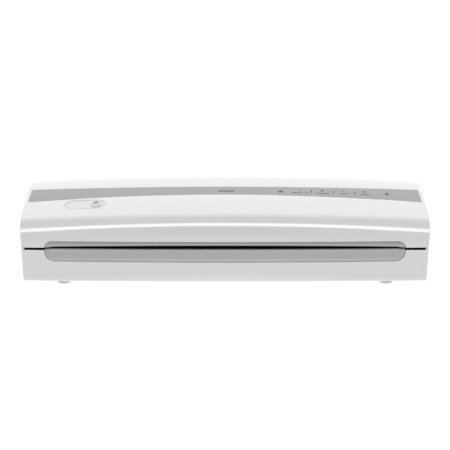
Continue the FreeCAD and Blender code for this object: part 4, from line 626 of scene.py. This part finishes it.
# the floor glows; in reflections it is bright near the machine and dimmer farther in front
fgeo = nt.nodes.new("ShaderNodeNewGeometry")
fsep = nt.nodes.new("ShaderNodeSeparateXYZ")
nt.links.new(fgeo.outputs["Position"], fsep.inputs[0])
fedge = maths(nt, "MULTIPLY", maths(nt, "MULTIPLY", fsep.outputs[0], fsep.outputs[0]), -0.45)
fy = maths(nt, "ADD", fsep.outputs[1], fedge)
far = maths(nt, "MULTIPLY", map_range(nt, fy, -0.176, -0.188, 0.0, 1.0), flp.outputs["Is Glossy Ray"])
far = maths(nt, "MULTIPLY", far, map_range(nt, maths(nt, "ABSOLUTE", fsep.outputs[0]), 0.04, 0.13, 1.0, 0.5))
near = maths(nt, "SUBTRACT", 1.0, far)
close = maths(nt, "MULTIPLY", map_range(nt, fy, -0.0868, -0.0835, 0.0, 1.0), flp.outputs["Is Glossy Ray"])
close = maths(nt, "ADD", close, maths(nt, "MULTIPLY", map_range(nt, fy, -0.066, -0.058, 0.0, 1.0), flp.outputs["Is Glossy Ray"]))
local = maths(nt, "ADD", value(nt, "floor", FLOOR_GLOW), maths(nt, "MULTIPLY", close, value(nt, "floor_close", FLOOR_CLOSE)))
glow = maths(nt, "ADD", maths(nt, "MULTIPLY", near, local), maths(nt, "MULTIPLY", far, value(nt, "floor_far", 0.0)))
seen = flp.outputs["Is Camera Ray"]
glow = maths(nt, "ADD", maths(nt, "MULTIPLY", maths(nt, "SUBTRACT", 1.0, seen), glow), maths(nt, "MULTIPLY", seen, FLOOR_SEEN))
nt.links.new(glow, emi.inputs["Strength"])
mixs.inputs[0].default_value = 0.22
nt.links.new(emi.outputs[0], mixs.inputs[1])
nt.links.new(dif.outputs[0], mixs.inputs[2])
nt.links.new(mixs.outputs[0], out.inputs[0])
floor_me.materials.append(fm)

# world: white to the camera, a soft gradient (brighter behind) to everything else
world = bpy.data.worlds.new("studio")
scene.world = world
world.use_nodes = True
nt = world.node_tree
nt.nodes.clear()
wout = nt.nodes.new("ShaderNodeOutputWorld")
bg_cam = nt.nodes.new("ShaderNodeBackground")
bg_cam.inputs[0].default_value = (1, 1, 1, 1)
bg_env = nt.nodes.new("ShaderNodeBackground")
tc = nt.nodes.new("ShaderNodeTexCoord")
sep = nt.nodes.new("ShaderNodeSeparateXYZ")
nt.links.new(tc.outputs["Generated"], sep.inputs[0])
lp = nt.nodes.new("ShaderNodeLightPath")
# reflections of the room just above the horizon in front take their own level
low = maths(nt, "MULTIPLY", map_range(nt, sep.outputs[1], -0.55, -0.75, 0.0, 1.0), map_range(nt, sep.outputs[2], 0.22, 0.16, 0.0, 1.0))
low = maths(nt, "MULTIPLY", low, lp.outputs["Is Glossy Ray"])
# and the unlit ceiling another
top = maths(nt, "MULTIPLY", map_range(nt, sep.outputs[2], 0.55, 0.75, 0.0, 1.0), map_range(nt, sep.outputs[1], 0.30, 0.10, 0.0, 1.0))
top = maths(nt, "MULTIPLY", top, lp.outputs["Is Glossy Ray"])
rest = maths(nt, "SUBTRACT", maths(nt, "SUBTRACT", 1.0, low), top)
level = maths(nt, "ADD", maths(nt, "MULTIPLY", rest, value(nt, "world", WORLD_ALL)), maths(nt, "MULTIPLY", low, value(nt, "world_low", WORLD_LOW)))
level = maths(nt, "ADD", level, maths(nt, "MULTIPLY", top, value(nt, "world_top", WORLD_TOP)))
nt.links.new(level, bg_env.inputs[1])
wm = nt.nodes.new("ShaderNodeMixShader")
nt.links.new(lp.outputs["Is Camera Ray"], wm.inputs[0])
nt.links.new(bg_env.outputs[0], wm.inputs[1])
nt.links.new(bg_cam.outputs[0], wm.inputs[2])
nt.links.new(wm.outputs[0], wout.inputs[0])


def area(name, loc, target, sx, sy, radiance, colour=(1, 1, 1), diffuse=True, glossy=True):
    li = bpy.data.lights.new(name, "AREA")
    li.shape = "RECTANGLE"
    li.size, li.size_y = sx, sy
    li.energy = radiance * math.pi * sx * sy
    li.color = colour
    ob = bpy.data.objects.new(name, li)
    ob.location = loc
    ob.rotation_mode = "QUATERNION"
    ob.rotation_quaternion = (Vector(target) - Vector(loc)).to_track_quat("-Z", "Y")
    ob.visible_diffuse = diffuse
    ob.visible_glossy = glossy
    ob.visible_camera = False
    scene.collection.objects.link(ob)
    return ob


def panel(name, angle, radiance, height=0.62, dist=1.5, width=3.2):
    """A wide soft box in the Y-Z plane, angle from straight up towards the front, in degrees."""
    a = math.radians(angle)
    return area(name, (0, -0.02 - dist * math.sin(a), 0.06 + dist * math.cos(a)), (0, -0.02, 0.06), width, height, radiance)


# a bank of soft boxes above and behind
panel("soft_low_back", -75, 0.48)
panel("soft_back", -50, 0.67)
panel("soft_top_back", -25, 0.23)

# a long arched strip box in front, seen only in reflections: it draws the bright line along the shoulder
STRIP_ANGLE, STRIP_HALF, STRIP_DROP, STRIP_DIST, STRIP_W, STRIP_GLOW = 59.0, 16.5, 1.75, 1.6, 1.8, 3.8
aa = math.radians(STRIP_ANGLE)
outward = Vector((0, -math.sin(aa), math.cos(aa)))
upward = Vector((0, math.cos(aa), math.sin(aa)))
reach = STRIP_DIST * math.tan(math.radians(STRIP_HALF))
sv, sf, sg = [], [], []
NU, NV = 40, 12
for i in range(NU + 1):
    sx_ = -STRIP_W / 2 + STRIP_W * i / NU
    mid_ = Vector((sx_, -0.045, 0.07)) + outward * STRIP_DIST + Vector((0, 0, -STRIP_DROP * sx_ * sx_))
    for j in range(NV + 1):
        t = -1 + 2 * j / NV
        sv.append(tuple(mid_ + upward * (reach * t)))
        sg.append(max(0.0, 1 - t * t) ** 0.7)
        if i < NU and j < NV:
            k = i * (NV + 1) + j
            sf.append((k, k + 1, k + NV + 2, k + NV + 1))
strip_me = bpy.data.meshes.new("strip_box")
strip_me.from_pydata(sv, [], sf)
strip_me.attributes.new("glow", "FLOAT", "POINT").data.foreach_set("value", sg)
sm = bpy.data.materials.new("strip_box_glow")
sm.use_nodes = True
nt = sm.node_tree
nt.nodes.clear()
so = nt.nodes.new("ShaderNodeOutputMaterial")
se = nt.nodes.new("ShaderNodeEmission")
sa = nt.nodes.new("ShaderNodeAttribute")
sa.attribute_name = "glow"
nt.links.new(maths(nt, "MULTIPLY", sa.outputs["Fac"], STRIP_GLOW), se.inputs["Strength"])
nt.links.new(se.outputs[0], so.inputs[0])
strip_me.materials.append(sm)
strip_box = bpy.data.objects.new("strip_box", strip_me)
scene.collection.objects.link(strip_box)
strip_box.visible_camera = False
strip_box.visible_diffuse = False
strip_box.visible_shadow = False

# camera: 25 degrees above the horizon, square on to the front
cam = bpy.data.cameras.new("cam")
cam.lens = 99.12
cam.sensor_width = 36.0
cam.clip_start, cam.clip_end = 0.05, 50.0
cob = bpy.data.objects.new("cam", cam)
cob.location = (0, -1.19609, 0.60646)
cob.rotation_euler = (math.radians(65.0), 0, 0)
scene.collection.objects.link(cob)
scene.camera = cob
scene.view_settings.view_transform = "Standard"
